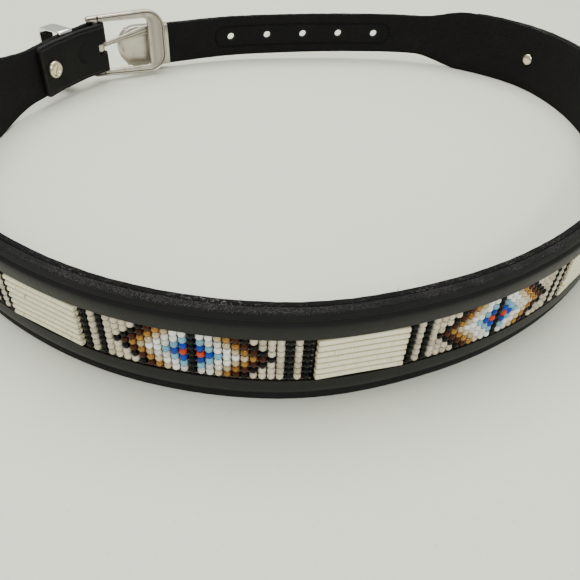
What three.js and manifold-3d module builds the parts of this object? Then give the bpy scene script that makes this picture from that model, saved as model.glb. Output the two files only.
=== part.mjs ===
// A beaded leather belt standing on its lower edge in an open loop, its buckle unfastened.
// Millimetres, +Z up. The origin is under the middle of the belt, on the surface it stands on.
// Distances called "run" are measured along the belt, from the buckle's heel bar to the tip.

import * as THREE from 'three';
import * as BufferGeometryUtils from 'three/addons/utils/BufferGeometryUtils.js';
import Module from 'manifold-3d';

const wasm = await Module();
wasm.setup();

// Gaps between neighbouring pieces
const SEAM_GAP = 0.3;          // between two layers that lie on each other
const TURN_GAP = 0.3;          // round the heel bar, between it and what turns on it
const FIT_GAP = 0.3;           // between a post and its hole, a strap and its pocket

// The loop that the belt stands in, measured on the inner face
const LOOP_WIDTH = 326;        // left to right
const LOOP_DEPTH = 312;        // front to back

// The one-piece strap
const BODY_HEIGHT = 38.1;      // the wide body, which carries the beadwork
const BODY_BACKING = 2.3;      // strap thickness behind the face leather
const BILLET_HEIGHT = 25.4;    // the narrow end with the holes
const BILLET_THICKNESS = 3.0;
const BUCKLE_END_HEIGHT = 28.0;   // the narrow end that folds round the heel bar
const BUCKLE_END_THICKNESS = 2.8;
const STRAP_CHAMFER = 0.5;
const FLAP_RUN = 48.5;         // from the heel bar to the cut end of the flap
const BUCKLE_TAPER_START = 53;
const BUCKLE_TAPER = 40;       // run over which the buckle end widens to the body
const BILLET_LENGTH = 209;     // from the end of the tip to the taper
const BILLET_TAPER = 34;
const BUCKLE_RISE = 2.1;       // the buckle end stands this much higher than the body's middle
const RISE_START = 10;         // the strap is level from the heel bar to here
const RISE_END = 60;
const BILLET_DROOP = 3.3;      // the free end hangs this much lower than the body's middle

// Holes for the tongue
const HOLE_COUNT = 5;
const HOLE_PITCH = 25.4;
const HOLE_DIAMETER = 4.8;
const FIRST_HOLE = 77;         // from the end of the tip

// The crowned face leather on the wide body
const FACE_FLANGE = 2.95;      // thickness of its flat edges
const FACE_CROWN = 0.95;       // height of the crowned bands over the edges
const FACE_FLOOR = 0.8;        // thickness left under the beadwork
const FACE_LIP = 0.66;         // height of the recess edges over the flat edges
const FACE_MARGIN = 4;         // between a taper and the end of the face leather
const RECESS_WALL = 0.8;       // run over which the recess rises at each end

// Beadwork: loomed bands between panels of quill tubes
const BEAD_ROWS = 7;
const ROW_PITCH = 2.5;         // across the belt
const BEAD_COLUMNS = 27;
const COLUMN_PITCH = 2.6;      // along the belt, on its inner face
const BEAD_DIAMETER = 2.6;
const ROW_GROOVE = 0.5;        // depth of the dips between rows
const ROW_FLANK = 0.75;        // height of each slope from a dip to a row's top
const INLAY_TAIL = 65.4;       // face leather left past the last quill panel
const QUILL_OVERLAP = 0.2;     // neighbouring tubes are joined by this much
const QUILL_SIDES = 10;
const PANEL_GAP = 0.3;         // between a quill panel and the next bead column
const INLAY_START = 150;       // run at which the beadwork starts
const MOTIF_COUNT = 5;         // bead bands, with a quill panel before, between and after
const INLAY_SIDE_GAP = 0.3;

// Screw through the flap and rivet behind the far end of the beadwork
const SCREW_RUN = 39.7;
const SCREW_HEAD_DIAMETER = 9.6;
const SCREW_HEAD_HEIGHT = 1.8;
const SCREW_POST_DIAMETER = 5.0;
const RIVET_TAIL = 42.5;       // face leather left past the rivet
const RIVET_HEAD_DIAMETER = 6.8;
const RIVET_HEAD_HEIGHT = 1.3;
const RIVET_POST_DIAMETER = 3.4;
const HEAD_FLAT = 0.7;         // flat top of a head, as a share of its diameter
const HEAD_RIM = 0.4;          // upright rim of a head, as a share of its height

// Buckle
const FRAME_THICKNESS = 3.4;
const FRAME_BEVEL = 0.8;
const FRAME_ARM = 4.9;         // height of each arm at the bow
const FRAME_HEEL_ARM = 3.6;    // height of each arm at its horn
const FRAME_OPENING = 31.6;    // from the heel bar's axis to the bow
const FRAME_BOW = 11;          // width of the bow
const FRAME_HORN = 5.7;        // the arms run on past the heel bar's axis
const FRAME_CORNER = 12;
const FRAME_INNER_CORNER = 2.4;
const ARM_GAP = 0.3;           // between the strap's edges and the arms
const BAR_DIAMETER = 3.6;
const TONGUE_RING_WALL = 1.3;
const TONGUE_WIDTH = 5.0;      // at its ring
const TONGUE_REACH = 40;       // from the heel bar's axis to the point
const TONGUE_THICKNESS = 2.0;
const TONGUE_ROOT = 0.8;       // distance of the tongue's middle from the bar's axis at its ring
const TONGUE_LEAN = 11;        // degrees that the tongue leans up from level
const TONGUE_FREE = 2.0;       // free way between the tongue and the belt's tip
const TONGUE_SLOT_GAP = 0.8;   // between the ring and the slot in the fold

// Keeper
const KEEPER_WIDTH = 9.5;
const KEEPER_RUN = 23;         // its middle
const KEEPER_THICKNESS = 1.5;
const KEEPER_INNER_LEG = 1.2;
const KEEPER_REACH = 18.5;     // from the middle of the fold to its outer face
const KEEPER_CORNER = 5;
const KEEPER_LEG_CORNER = 0.6; // corners of the inner leg
const KEEPER_GAP = 0.4;        // between the strap's edges and the keeper
const KEEPER_SIDE_GAP = 1.5;   // the fold stays open this far beside the keeper
const FOLD_SHUT = 5;           // run over which the fold closes past the keeper

// Metal tip on the billet
const TIP_LENGTH = 33;
const TIP_WALL = 1.0;
const TIP_BEVEL = 0.5;
const TIP_RIM = 1.4;           // metal left above and below the strap in the pocket
const TIP_NOSE = 5;            // solid metal past the strap's end

// How finely curved shapes are divided
const STATION_STEP = 10.5;
const FLAP_STEP = 5;
const PATH_DIVISIONS = 900;
const ARC_SEGMENTS = 5;
const FOLD_STEPS = 8;
const ROUND_SIDES = 14;
const EPS = 0.001;

// The belt's line in plan, from just past the heel bar round the front to the tip's open end.
// Columns: share of LOOP_WIDTH from the middle, share of LOOP_DEPTH from the middle.
const LINE_START = 12;         // run at the table's first point
const PLAN_TABLE = [
  [-0.4228, 0.2378], [-0.4482, 0.1866],
  [-0.4693, 0.1314], [-0.4887, 0.0721], [-0.4994, -0.0064], [-0.4847, -0.1506],
  [-0.4264, -0.2949], [-0.3199, -0.4071], [-0.1715, -0.4833], [-0.0077, -0.4978],
  [0.1383, -0.4484], [0.2580, -0.3660], [0.3620, -0.2468], [0.4479, -0.0994],
  [0.4939, 0.0673], [0.4939, 0.2532], [0.4417, 0.3878], [0.3479, 0.4631],
  [0.2270, 0.5000], [0.0798, 0.4920], [-0.0706, 0.4612], [-0.1815, 0.4265],
  [-0.2931, 0.3675],
];

const LEATHER = { color: 0x141316, roughness: 0.55, metalness: 0 };
const SUEDE = { color: 0x1b1a1c, roughness: 0.9, metalness: 0 };
const BEADWORK = { color: 0xb9ae98, roughness: 0.35, metalness: 0 };
const QUILL = { color: 0xe6dfc4, roughness: 0.5, metalness: 0 };
const CAST_METAL = { color: 0xb3ab9c, roughness: 0.42, metalness: 0.9 };
const BRIGHT_METAL = { color: 0xd8d6d0, roughness: 0.18, metalness: 1 };
const PALE_BRASS = { color: 0xcfc39c, roughness: 0.3, metalness: 0.9 };

const group = new THREE.Group();

function addPiece(name, geometry, finish) {
  const mesh = new THREE.Mesh(geometry, new THREE.MeshStandardMaterial(finish));
  mesh.name = name;
  group.add(mesh);
  return mesh;
}

// Solids
function signedVolume(geometry) {
  const position = geometry.getAttribute('position');
  const index = geometry.getIndex();
  const a = new THREE.Vector3();
  const b = new THREE.Vector3();
  const c = new THREE.Vector3();
  let volume = 0;
  for (let i = 0; i < index.count; i += 3) {
    a.fromBufferAttribute(position, index.getX(i));
    b.fromBufferAttribute(position, index.getX(i + 1));
    c.fromBufferAttribute(position, index.getX(i + 2));
    volume += a.dot(b.cross(c));
  }
  return volume;
}

function faceOutwards(geometry) {
  if (signedVolume(geometry) > 0) {
    return geometry;
  }
  const index = Array.from(geometry.getIndex().array);
  for (let i = 0; i < index.length; i += 3) {
    [index[i], index[i + 1]] = [index[i + 1], index[i]];
  }
  geometry.setIndex(index);
  return geometry;
}

function welded(geometry) {
  const bare = geometry.clone();
  bare.deleteAttribute('normal');
  bare.deleteAttribute('uv');
  return faceOutwards(BufferGeometryUtils.mergeVertices(bare, EPS / 10));
}

function solidOf(geometry) {
  const bare = welded(geometry);
  return new wasm.Manifold(new wasm.Mesh({
    numProp: 3,
    vertProperties: new Float32Array(bare.getAttribute('position').array),
    triVerts: new Uint32Array(bare.getIndex().array),
  }));
}

function geometryOf(solid) {
  const mesh = solid.getMesh();
  const geometry = new THREE.BufferGeometry();
  geometry.setAttribute('position', new THREE.Float32BufferAttribute(mesh.vertProperties, 3));
  geometry.setIndex(Array.from(mesh.triVerts));
  return geometry;
}

function united(geometries) {
  return geometryOf(geometries.map(solidOf).reduce((whole, piece) => whole.add(piece)));
}

function cutBy(geometry, cutters) {
  return geometryOf(cutters.map(solidOf).reduce((rest, cutter) => rest.subtract(cutter),
    solidOf(geometry)));
}

// A closed solid through rings of equal count; each end is closed by the ring's own flat shape.
function loft(rings, flatShape) {
  const count = rings[0].length;
  const position = rings.flat().flatMap((point) => [point.x, point.y, point.z]);
  const index = [];
  for (let i = 0; i + 1 < rings.length; i += 1) {
    for (let k = 0; k < count; k += 1) {
      const next = (k + 1) % count;
      const a = i * count + k;
      const b = i * count + next;
      index.push(a, b, b + count, a, b + count, a + count);
    }
  }
  const cap = THREE.ShapeUtils.triangulateShape(flatShape, []);
  const last = (rings.length - 1) * count;
  const contourTurns = THREE.ShapeUtils.area(flatShape) > 0;
  for (const [a, b, c] of cap) {
    const first = contourTurns ? [a, c, b] : [a, b, c];
    index.push(first[0], first[1], first[2]);
    index.push(last + first[0], last + first[2], last + first[1]);
  }
  const geometry = new THREE.BufferGeometry();
  geometry.setAttribute('position', new THREE.Float32BufferAttribute(position, 3));
  geometry.setIndex(index);
  return faceOutwards(geometry);
}

// The belt's line: straight at both ends, where the metal keeps it stiff
const planCurve = new THREE.CatmullRomCurve3(PLAN_TABLE.map(
  ([x, y]) => new THREE.Vector3(x * LOOP_WIDTH, y * LOOP_DEPTH, 0)), false, 'centripetal');
planCurve.arcLengthDivisions = PATH_DIVISIONS;
const CURVE_LENGTH = planCurve.getLength();
const BELT_LENGTH = LINE_START + CURVE_LENGTH + TIP_LENGTH;

function lineAt(run) {
  const along = THREE.MathUtils.clamp((run - LINE_START) / CURVE_LENGTH, 0, 1);
  const point = planCurve.getPointAt(along);
  const tangent = planCurve.getTangentAt(along);
  const beyond = run - LINE_START - along * CURVE_LENGTH;
  point.addScaledVector(tangent, beyond);
  return { point, tangent, outward: new THREE.Vector3(tangent.y, -tangent.x, 0) };
}

function beltPoint(run, out, height) {
  const { point, outward } = lineAt(run);
  return new THREE.Vector3(point.x + outward.x * out, point.y + outward.y * out, height);
}

// A matrix that stands a piece on the belt: X along the belt, Y outwards, Z up.
// These axes are left-handed, so onBelt turns the piece's faces outwards again.
function beltFrame(run, height) {
  const { point, tangent, outward } = lineAt(run);
  const matrix = new THREE.Matrix4().makeBasis(tangent, outward, new THREE.Vector3(0, 0, 1));
  matrix.setPosition(point.x, point.y, height);
  return matrix;
}

function ease(value) {
  return THREE.MathUtils.smoothstep(value, 0, 1);
}

function mix(from, to, share) {
  return THREE.MathUtils.lerp(from, to, share);
}

// Where the strap changes along its run
const BODY_START = BUCKLE_TAPER_START + BUCKLE_TAPER;
const BILLET_START = BELT_LENGTH - BILLET_LENGTH;
const BODY_END = BILLET_START - BILLET_TAPER;
const FACE_START = BODY_START + FACE_MARGIN;
const FACE_END = BODY_END - FACE_MARGIN;
const STRAP_END = BELT_LENGTH - TIP_NOSE;
const TIP_START = BELT_LENGTH - TIP_LENGTH;
const BODY_MIDDLE = BODY_HEIGHT / 2;
const BAR_HEIGHT = BODY_MIDDLE + BUCKLE_RISE;
const POCKET_HEIGHT = BILLET_HEIGHT - 2 * TIP_RIM;
const SEAM_HALF = SEAM_GAP / 2;
const BAND_LENGTH = BEAD_COLUMNS * COLUMN_PITCH;
// The quill tubes are cut so that the beadwork fills the face leather up to its tail
const INLAY_LENGTH = FACE_END - INLAY_TAIL - INLAY_START;
const BANDS_LENGTH = MOTIF_COUNT * (BAND_LENGTH + 2 * PANEL_GAP);
const QUILL_LENGTH = (INLAY_LENGTH - BANDS_LENGTH) / (MOTIF_COUNT + 1);
const PANEL_PITCH = QUILL_LENGTH + BAND_LENGTH + 2 * PANEL_GAP;
const RECESS_START = INLAY_START - PANEL_GAP;
const RECESS_END = INLAY_START + MOTIF_COUNT * PANEL_PITCH + QUILL_LENGTH + PANEL_GAP;
const BAND_STARTS = Array.from({ length: MOTIF_COUNT },
  (_, i) => INLAY_START + i * PANEL_PITCH + QUILL_LENGTH + PANEL_GAP);

// The layers of the body are divided at the same runs, so that the gaps between them stay even
const BODY_MARKS = [
  FACE_START, RECESS_START - RECESS_WALL, RECESS_START,
  ...BAND_STARTS.flatMap((start) => [start, start + BAND_LENGTH]),
  RECESS_END, RECESS_END + RECESS_WALL, FACE_END,
];

function middleHeight(run) {
  const rise = 1 - ease((run - RISE_START) / (RISE_END - RISE_START));
  const droop = THREE.MathUtils.clamp((run - BILLET_START) / (TIP_START - BILLET_START), 0, 1);
  return BODY_MIDDLE + BUCKLE_RISE * rise - BILLET_DROOP * droop;
}

function strapHeight(run) {
  if (run > TIP_START) {
    return POCKET_HEIGHT - 2 * FIT_GAP;
  }
  const widen = ease((run - BUCKLE_TAPER_START) / BUCKLE_TAPER);
  const narrow = ease((run - BODY_END) / BILLET_TAPER);
  return mix(mix(BUCKLE_END_HEIGHT, BODY_HEIGHT, widen), BILLET_HEIGHT, narrow);
}

function strapThickness(run) {
  const widen = ease((run - BUCKLE_TAPER_START) / BUCKLE_TAPER);
  const narrow = ease((run - FACE_END - FACE_MARGIN) / BILLET_TAPER);
  return mix(mix(BUCKLE_END_THICKNESS, BODY_BACKING, widen), BILLET_THICKNESS, narrow);
}

// Half the space between the two layers of the fold, which opens for the bar and the keeper
const TUNNEL_RADIUS = BAR_DIAMETER / 2 + TURN_GAP;
const KEEPER_SPACE = KEEPER_INNER_LEG / 2 + SEAM_GAP;
const KEEPER_SPACE_START = KEEPER_RUN - KEEPER_WIDTH / 2 - KEEPER_SIDE_GAP;
const KEEPER_SPACE_END = KEEPER_RUN + KEEPER_WIDTH / 2 + KEEPER_SIDE_GAP;
const FOLD_CLOSED = KEEPER_SPACE_END + FOLD_SHUT;

function foldSpace(run) {
  if (run < KEEPER_SPACE_START) {
    return mix(TUNNEL_RADIUS, KEEPER_SPACE, ease(run / KEEPER_SPACE_START));
  }
  return mix(KEEPER_SPACE, SEAM_HALF, ease((run - KEEPER_SPACE_END) / FOLD_SHUT));
}

function stations(start, end, step = STATION_STEP) {
  const count = Math.max(1, Math.ceil((end - start) / step));
  return Array.from({ length: count + 1 }, (_, i) => start + (end - start) * i / count);
}

function stationsThrough(marks, step = STATION_STEP) {
  const runs = [];
  for (let i = 0; i + 1 < marks.length; i += 1) {
    runs.push(...stations(marks[i], marks[i + 1], step).slice(i === 0 ? 0 : 1));
  }
  return runs;
}

// Strap
function strapRing(origin, outward, thickness, low, high) {
  const c = STRAP_CHAMFER;
  const half = thickness / 2;
  const outline = [
    [-half + c, low], [half - c, low], [half, low + c], [half, high - c],
    [half - c, high], [-half + c, high], [-half, high - c], [-half, low + c],
  ];
  return outline.map(([out, z]) => new THREE.Vector3(
    origin.x + outward.x * out, origin.y + outward.y * out, z));
}

function strapSection(run) {
  return {
    low: middleHeight(run) - strapHeight(run) / 2,
    high: middleHeight(run) + strapHeight(run) / 2,
    thickness: strapThickness(run),
  };
}

function plyRing(run, side) {
  const { low, high, thickness } = strapSection(run);
  const { outward } = lineAt(run);
  const origin = beltPoint(run, side * (foldSpace(run) + thickness / 2), 0);
  return strapRing(origin, outward.multiplyScalar(side), thickness, low, high);
}

function foldRings() {
  const { low, high, thickness } = strapSection(0);
  const { point, tangent, outward } = lineAt(0);
  const radius = TUNNEL_RADIUS + thickness / 2;
  const rings = [];
  for (let i = 1; i < FOLD_STEPS; i += 1) {
    const angle = Math.PI * i / FOLD_STEPS;
    const radial = outward.clone().multiplyScalar(-Math.cos(angle))
      .addScaledVector(tangent, -Math.sin(angle));
    rings.push(strapRing(point.clone().addScaledVector(radial, radius), radial, thickness,
      low, high));
  }
  return rings;
}

function cylinderAlongY(diameter, from, to, sides = ROUND_SIDES) {
  const geometry = new THREE.CylinderGeometry(diameter / 2, diameter / 2, to - from, sides);
  return geometry.translate(0, (from + to) / 2, 0);
}

function onBelt(geometry, run, height) {
  return welded(geometry.applyMatrix4(beltFrame(run, height)));
}

const CUTTER_REACH = 20;

function roundHole(diameter, run) {
  const cutter = cylinderAlongY(diameter, -CUTTER_REACH, CUTTER_REACH);
  return onBelt(cutter, run, middleHeight(run));
}

const RING_RADIUS = BAR_DIAMETER / 2 + TURN_GAP + TONGUE_RING_WALL;

function tongueSlot() {
  const depth = RING_RADIUS + TONGUE_SLOT_GAP;
  const slot = new THREE.BoxGeometry(CUTTER_REACH + depth, 2 * CUTTER_REACH,
    TONGUE_WIDTH + 2 * TONGUE_SLOT_GAP);
  slot.translate((depth - CUTTER_REACH) / 2, 0, 0);
  return onBelt(slot, 0, BAR_HEIGHT);
}

const RIVET_RUN = FACE_END - RIVET_TAIL;

function backingStrap() {
  const flapRuns = stationsThrough([0, KEEPER_SPACE_END, FOLD_CLOSED, FLAP_RUN], FLAP_STEP)
    .reverse();
  const strapRuns = stationsThrough([0, KEEPER_SPACE_END, FOLD_CLOSED, FLAP_RUN,
    BUCKLE_TAPER_START, BODY_START, ...BODY_MARKS, BODY_END, BILLET_START, TIP_START]);
  const rings = [
    ...flapRuns.map((run) => plyRing(run, -1)),
    ...foldRings(),
    ...strapRuns.map((run) => plyRing(run, 1)),
    plyRing(TIP_START + EPS, 1),
    plyRing(STRAP_END, 1),
  ];
  const first = strapSection(FLAP_RUN);
  const c = STRAP_CHAMFER;
  const half = first.thickness / 2;
  const flat = [
    [-half + c, first.low], [half - c, first.low], [half, first.low + c],
    [half, first.high - c], [half - c, first.high], [-half + c, first.high],
    [-half, first.high - c], [-half, first.low + c],
  ].map(([x, y]) => new THREE.Vector2(x, y));
  const holes = Array.from({ length: HOLE_COUNT }, (_, i) => roundHole(HOLE_DIAMETER,
    BELT_LENGTH - FIRST_HOLE - i * HOLE_PITCH));
  return cutBy(loft(rings, flat), [
    ...holes,
    roundHole(SCREW_POST_DIAMETER + 2 * FIT_GAP, SCREW_RUN),
    roundHole(RIVET_POST_DIAMETER + 2 * FIT_GAP, RIVET_RUN),
    tongueSlot(),
  ]);
}

// Face leather
const FACE_BACK = SEAM_HALF + BODY_BACKING + SEAM_GAP;
const FACE_EDGE = FACE_BACK + FACE_FLANGE;
const FACE_TOP = FACE_EDGE + FACE_CROWN;
const INLAY_HEIGHT = BEAD_ROWS * ROW_PITCH;
const RECESS_SHARE = (INLAY_HEIGHT / 2 + INLAY_SIDE_GAP) / BODY_MIDDLE;

// Upper half of the section outside the recess.
// Columns: height as a share of half the body from its middle, rise as a share of the crown.
const FACE_TABLE = [
  [0.52, 0.80], [0.62, 1.00], [0.72, 0.86], [0.79, 0.35],
  [0.82, -0.20], [0.86, 0.00], [0.97, -0.05], [1.00, -0.55],
];

// The face's section, with the recess floor lifted to the crown where lift is 1
function faceOutline(lift) {
  const floor = mix(FACE_BACK + FACE_FLOOR, FACE_TOP, lift);
  const upper = [
    [RECESS_SHARE - EPS, floor],
    [RECESS_SHARE, mix(FACE_EDGE + FACE_LIP, FACE_TOP, lift)],
    ...FACE_TABLE.map(([share, rise]) => [share, FACE_EDGE + rise * FACE_CROWN]),
  ];
  const outer = [
    ...upper.map(([share, out]) => [-share, out]).reverse(),
    ...upper,
  ];
  const outline = [[-1, FACE_BACK], ...outer, [1, FACE_BACK]];
  return outline.map(([share, out]) => [out, BODY_MIDDLE * (1 + share)]);
}

function faceLeather() {
  const rings = stationsThrough(BODY_MARKS).map((run) => {
    const lift = run < RECESS_START - EPS || run > RECESS_END + EPS ? 1 : 0;
    return faceOutline(lift).map(([out, z]) => beltPoint(run, out, z));
  });
  const flat = faceOutline(1).map(([out, z]) => new THREE.Vector2(out, z));
  return cutBy(loft(rings, flat), [
    roundHole(RIVET_POST_DIAMETER + 2 * FIT_GAP, RIVET_RUN),
  ]);
}

// Beadwork
const INLAY_BACK = FACE_BACK + FACE_FLOOR + SEAM_GAP;

function bandOutline() {
  const top = INLAY_BACK + BEAD_DIAMETER;
  const low = BODY_MIDDLE - INLAY_HEIGHT / 2;
  const outer = [];
  for (let row = 0; row < BEAD_ROWS; row += 1) {
    const z = low + row * ROW_PITCH;
    outer.push([top - ROW_GROOVE, z], [top, z + ROW_FLANK], [top, z + ROW_PITCH - ROW_FLANK]);
  }
  const high = low + INLAY_HEIGHT;
  return [[INLAY_BACK, low], ...outer, [top - ROW_GROOVE, high], [INLAY_BACK, high]];
}

function beadBand(start) {
  const outline = bandOutline();
  const rings = stations(start, start + BAND_LENGTH).map(
    (run) => outline.map(([out, z]) => beltPoint(run, out, z)));
  return loft(rings, outline.map(([out, z]) => new THREE.Vector2(out, z)));
}

// Hard tubes stay straight, so a panel is flat and touches the belt's curve at its middle
function quillPanel(start) {
  const tubes = [];
  for (let row = 0; row < BEAD_ROWS; row += 1) {
    const radius = (ROW_PITCH + QUILL_OVERLAP) / 2;
    const tube = new THREE.CylinderGeometry(radius, radius, QUILL_LENGTH, QUILL_SIDES);
    tube.rotateZ(Math.PI / 2);
    tube.translate(0, INLAY_BACK + radius,
      (row - (BEAD_ROWS - 1) / 2) * ROW_PITCH);
    tubes.push(tube);
  }
  return onBelt(united(tubes), start + QUILL_LENGTH / 2, BODY_MIDDLE);
}

// Round fastenings that go through the leather, with a head on each side
function throughFastening(innerFace, outerFace, headDiameter, headHeight, postDiameter) {
  const head = headDiameter / 2;
  const post = postDiameter / 2;
  const rim = HEAD_RIM * headHeight;
  return new THREE.LatheGeometry([
    new THREE.Vector2(0, innerFace - headHeight),
    new THREE.Vector2(HEAD_FLAT * head, innerFace - headHeight),
    new THREE.Vector2(head, innerFace - rim),
    new THREE.Vector2(head, innerFace),
    new THREE.Vector2(post, innerFace),
    new THREE.Vector2(post, outerFace),
    new THREE.Vector2(head, outerFace),
    new THREE.Vector2(head, outerFace + rim),
    new THREE.Vector2(HEAD_FLAT * head, outerFace + headHeight),
    new THREE.Vector2(0, outerFace + headHeight),
  ], ROUND_SIDES);
}

function flapScrew() {
  const reach = SEAM_HALF + BUCKLE_END_THICKNESS + SEAM_GAP;
  const screw = throughFastening(-reach, reach, SCREW_HEAD_DIAMETER, SCREW_HEAD_HEIGHT,
    SCREW_POST_DIAMETER);
  return onBelt(screw, SCREW_RUN, middleHeight(SCREW_RUN));
}

function endRivet() {
  const rivet = throughFastening(SEAM_HALF - SEAM_GAP, FACE_TOP + SEAM_GAP,
    RIVET_HEAD_DIAMETER, RIVET_HEAD_HEIGHT, RIVET_POST_DIAMETER);
  return onBelt(rivet, RIVET_RUN, BODY_MIDDLE);
}

// Pieces drawn flat as X along the belt and Z up, and made thick from Y = 0 outwards
function standing(shape, thickness, bevel) {
  const geometry = new THREE.ExtrudeGeometry(shape, {
    depth: thickness - 2 * bevel,
    bevelEnabled: bevel > 0,
    bevelThickness: bevel,
    bevelSize: bevel,
    bevelOffset: -bevel,
    bevelSegments: 2,
    curveSegments: ARC_SEGMENTS,
  });
  geometry.rotateX(Math.PI / 2);
  return geometry.translate(0, thickness - bevel, 0);
}

// Buckle: it turns on the heel bar, and its bow lies just inside the belt's tip
const FRAME_INNER = BUCKLE_END_HEIGHT / 2 + ARM_GAP;
const FRAME_OUTER = FRAME_INNER + FRAME_ARM;
const FRAME_LENGTH = FRAME_OPENING + FRAME_BOW;
const TONGUE_SEAT = FRAME_THICKNESS / 2 + TURN_GAP;
const TIP_INNER = SEAM_HALF - FIT_GAP - TIP_WALL;

function buckleMatrix() {
  const bar = lineAt(0).point;
  const end = lineAt(BELT_LENGTH);
  const barInside = new THREE.Vector3().subVectors(end.point, bar).dot(end.outward);
  const bowInside = TONGUE_SEAT + TONGUE_THICKNESS + TONGUE_FREE - TIP_INNER;
  const swing = Math.asin((barInside - bowInside) / FRAME_LENGTH);
  const heading = Math.atan2(-end.tangent.y, -end.tangent.x) + swing;
  const matrix = new THREE.Matrix4().makeRotationZ(heading);
  return matrix.setPosition(bar.x, bar.y, BAR_HEIGHT);
}

function frameShape() {
  const shape = new THREE.Shape();
  const quarter = Math.PI / 2;
  const hornRadius = FRAME_HEEL_ARM / 2;
  const armMiddle = FRAME_INNER + hornRadius;
  const hornCentre = hornRadius - FRAME_HORN;
  const inner = FRAME_INNER_CORNER;
  const corner = FRAME_CORNER;
  shape.moveTo(hornCentre, FRAME_INNER);
  shape.lineTo(FRAME_OPENING - inner, FRAME_INNER);
  shape.absarc(FRAME_OPENING - inner, FRAME_INNER - inner, inner, quarter, 0, true);
  shape.lineTo(FRAME_OPENING, inner - FRAME_INNER);
  shape.absarc(FRAME_OPENING - inner, inner - FRAME_INNER, inner, 0, -quarter, true);
  shape.lineTo(hornCentre, -FRAME_INNER);
  shape.absarc(hornCentre, -armMiddle, hornRadius, quarter, 3 * quarter, false);
  shape.lineTo(FRAME_LENGTH - corner, -FRAME_OUTER);
  shape.absarc(FRAME_LENGTH - corner, corner - FRAME_OUTER, corner, -quarter, 0, false);
  shape.lineTo(FRAME_LENGTH, FRAME_OUTER - corner);
  shape.absarc(FRAME_LENGTH - corner, FRAME_OUTER - corner, corner, 0, quarter, false);
  shape.lineTo(hornCentre, FRAME_INNER + FRAME_HEEL_ARM);
  shape.absarc(hornCentre, armMiddle, hornRadius, quarter, 3 * quarter, false);
  return shape;
}

function buckleFrame() {
  const rim = standing(frameShape(), FRAME_THICKNESS, FRAME_BEVEL);
  rim.translate(0, -FRAME_THICKNESS / 2, 0);
  const bar = new THREE.CylinderGeometry(BAR_DIAMETER / 2, BAR_DIAMETER / 2,
    2 * FRAME_INNER + FRAME_HEEL_ARM, ROUND_SIDES);
  bar.rotateX(Math.PI / 2);
  return united([rim, bar]).applyMatrix4(buckleMatrix());
}

// Columns: distance from the bar as a share of the tongue's reach, how far it has moved out
// to its seat on the bow, thickness and height as shares of TONGUE_THICKNESS, TONGUE_WIDTH
const TONGUE_TABLE = [
  [0.065, 0.00, 0.80, 0.60], [0.35, 0.42, 0.90, 0.66], [0.62, 0.80, 1.00, 1.00],
  [0.78, 1.00, 1.00, 1.10], [0.95, 1.00, 1.00, 0.96], [1.00, 1.00, 0.45, 0.50],
];

function buckleTongue() {
  const rise = Math.tan(THREE.MathUtils.degToRad(TONGUE_LEAN));
  const seat = TONGUE_SEAT + TONGUE_THICKNESS / 2;
  const octagon = [[1, 0.5], [0.6, 1], [-0.6, 1], [-1, 0.5], [-1, -0.5], [-0.6, -1],
    [0.6, -1], [1, -0.5]];
  const rings = TONGUE_TABLE.map(([share, moved, thick, high]) => {
    const x = share * TONGUE_REACH;
    return octagon.map(([y, z]) => new THREE.Vector3(x,
      mix(TONGUE_ROOT, seat, moved) + y * thick * TONGUE_THICKNESS / 2,
      x * rise + z * high * TONGUE_WIDTH / 2));
  });
  const prong = loft(rings, octagon.map(([y, z]) => new THREE.Vector2(y, z)));
  const outline = new THREE.Shape().absarc(0, 0, RING_RADIUS, 0, 2 * Math.PI, false);
  const bore = BAR_DIAMETER / 2 + TURN_GAP;
  outline.holes.push(new THREE.Path().absarc(0, 0, bore, 0, 2 * Math.PI, true));
  const ring = new THREE.ExtrudeGeometry(outline, {
    depth: TONGUE_WIDTH, bevelEnabled: false, curveSegments: ROUND_SIDES / 2,
  });
  ring.translate(0, 0, -TONGUE_WIDTH / 2);
  return united([prong, ring]).applyMatrix4(buckleMatrix());
}

// Keeper: a flat loop that stands across the strap, its inner leg held in the fold
function roundedBox(shape, left, right, low, high, leftCorner, rightCorner, clockwise) {
  const quarter = Math.PI / 2;
  if (clockwise) {
    shape.moveTo(left, low + leftCorner);
    shape.lineTo(left, high - leftCorner);
    shape.absarc(left + leftCorner, high - leftCorner, leftCorner, 2 * quarter, quarter, true);
    shape.lineTo(right - rightCorner, high);
    shape.absarc(right - rightCorner, high - rightCorner, rightCorner, quarter, 0, true);
    shape.lineTo(right, low + rightCorner);
    shape.absarc(right - rightCorner, low + rightCorner, rightCorner, 0, -quarter, true);
    shape.lineTo(left + leftCorner, low);
    shape.absarc(left + leftCorner, low + leftCorner, leftCorner, -quarter, -2 * quarter, true);
    return shape;
  }
  shape.moveTo(left + leftCorner, low);
  shape.lineTo(right - rightCorner, low);
  shape.absarc(right - rightCorner, low + rightCorner, rightCorner, -quarter, 0, false);
  shape.lineTo(right, high - rightCorner);
  shape.absarc(right - rightCorner, high - rightCorner, rightCorner, 0, quarter, false);
  shape.lineTo(left + leftCorner, high);
  shape.absarc(left + leftCorner, high - leftCorner, leftCorner, quarter, 2 * quarter, false);
  shape.lineTo(left, low + leftCorner);
  shape.absarc(left + leftCorner, low + leftCorner, leftCorner, 2 * quarter, 3 * quarter, false);
  return shape;
}

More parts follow.
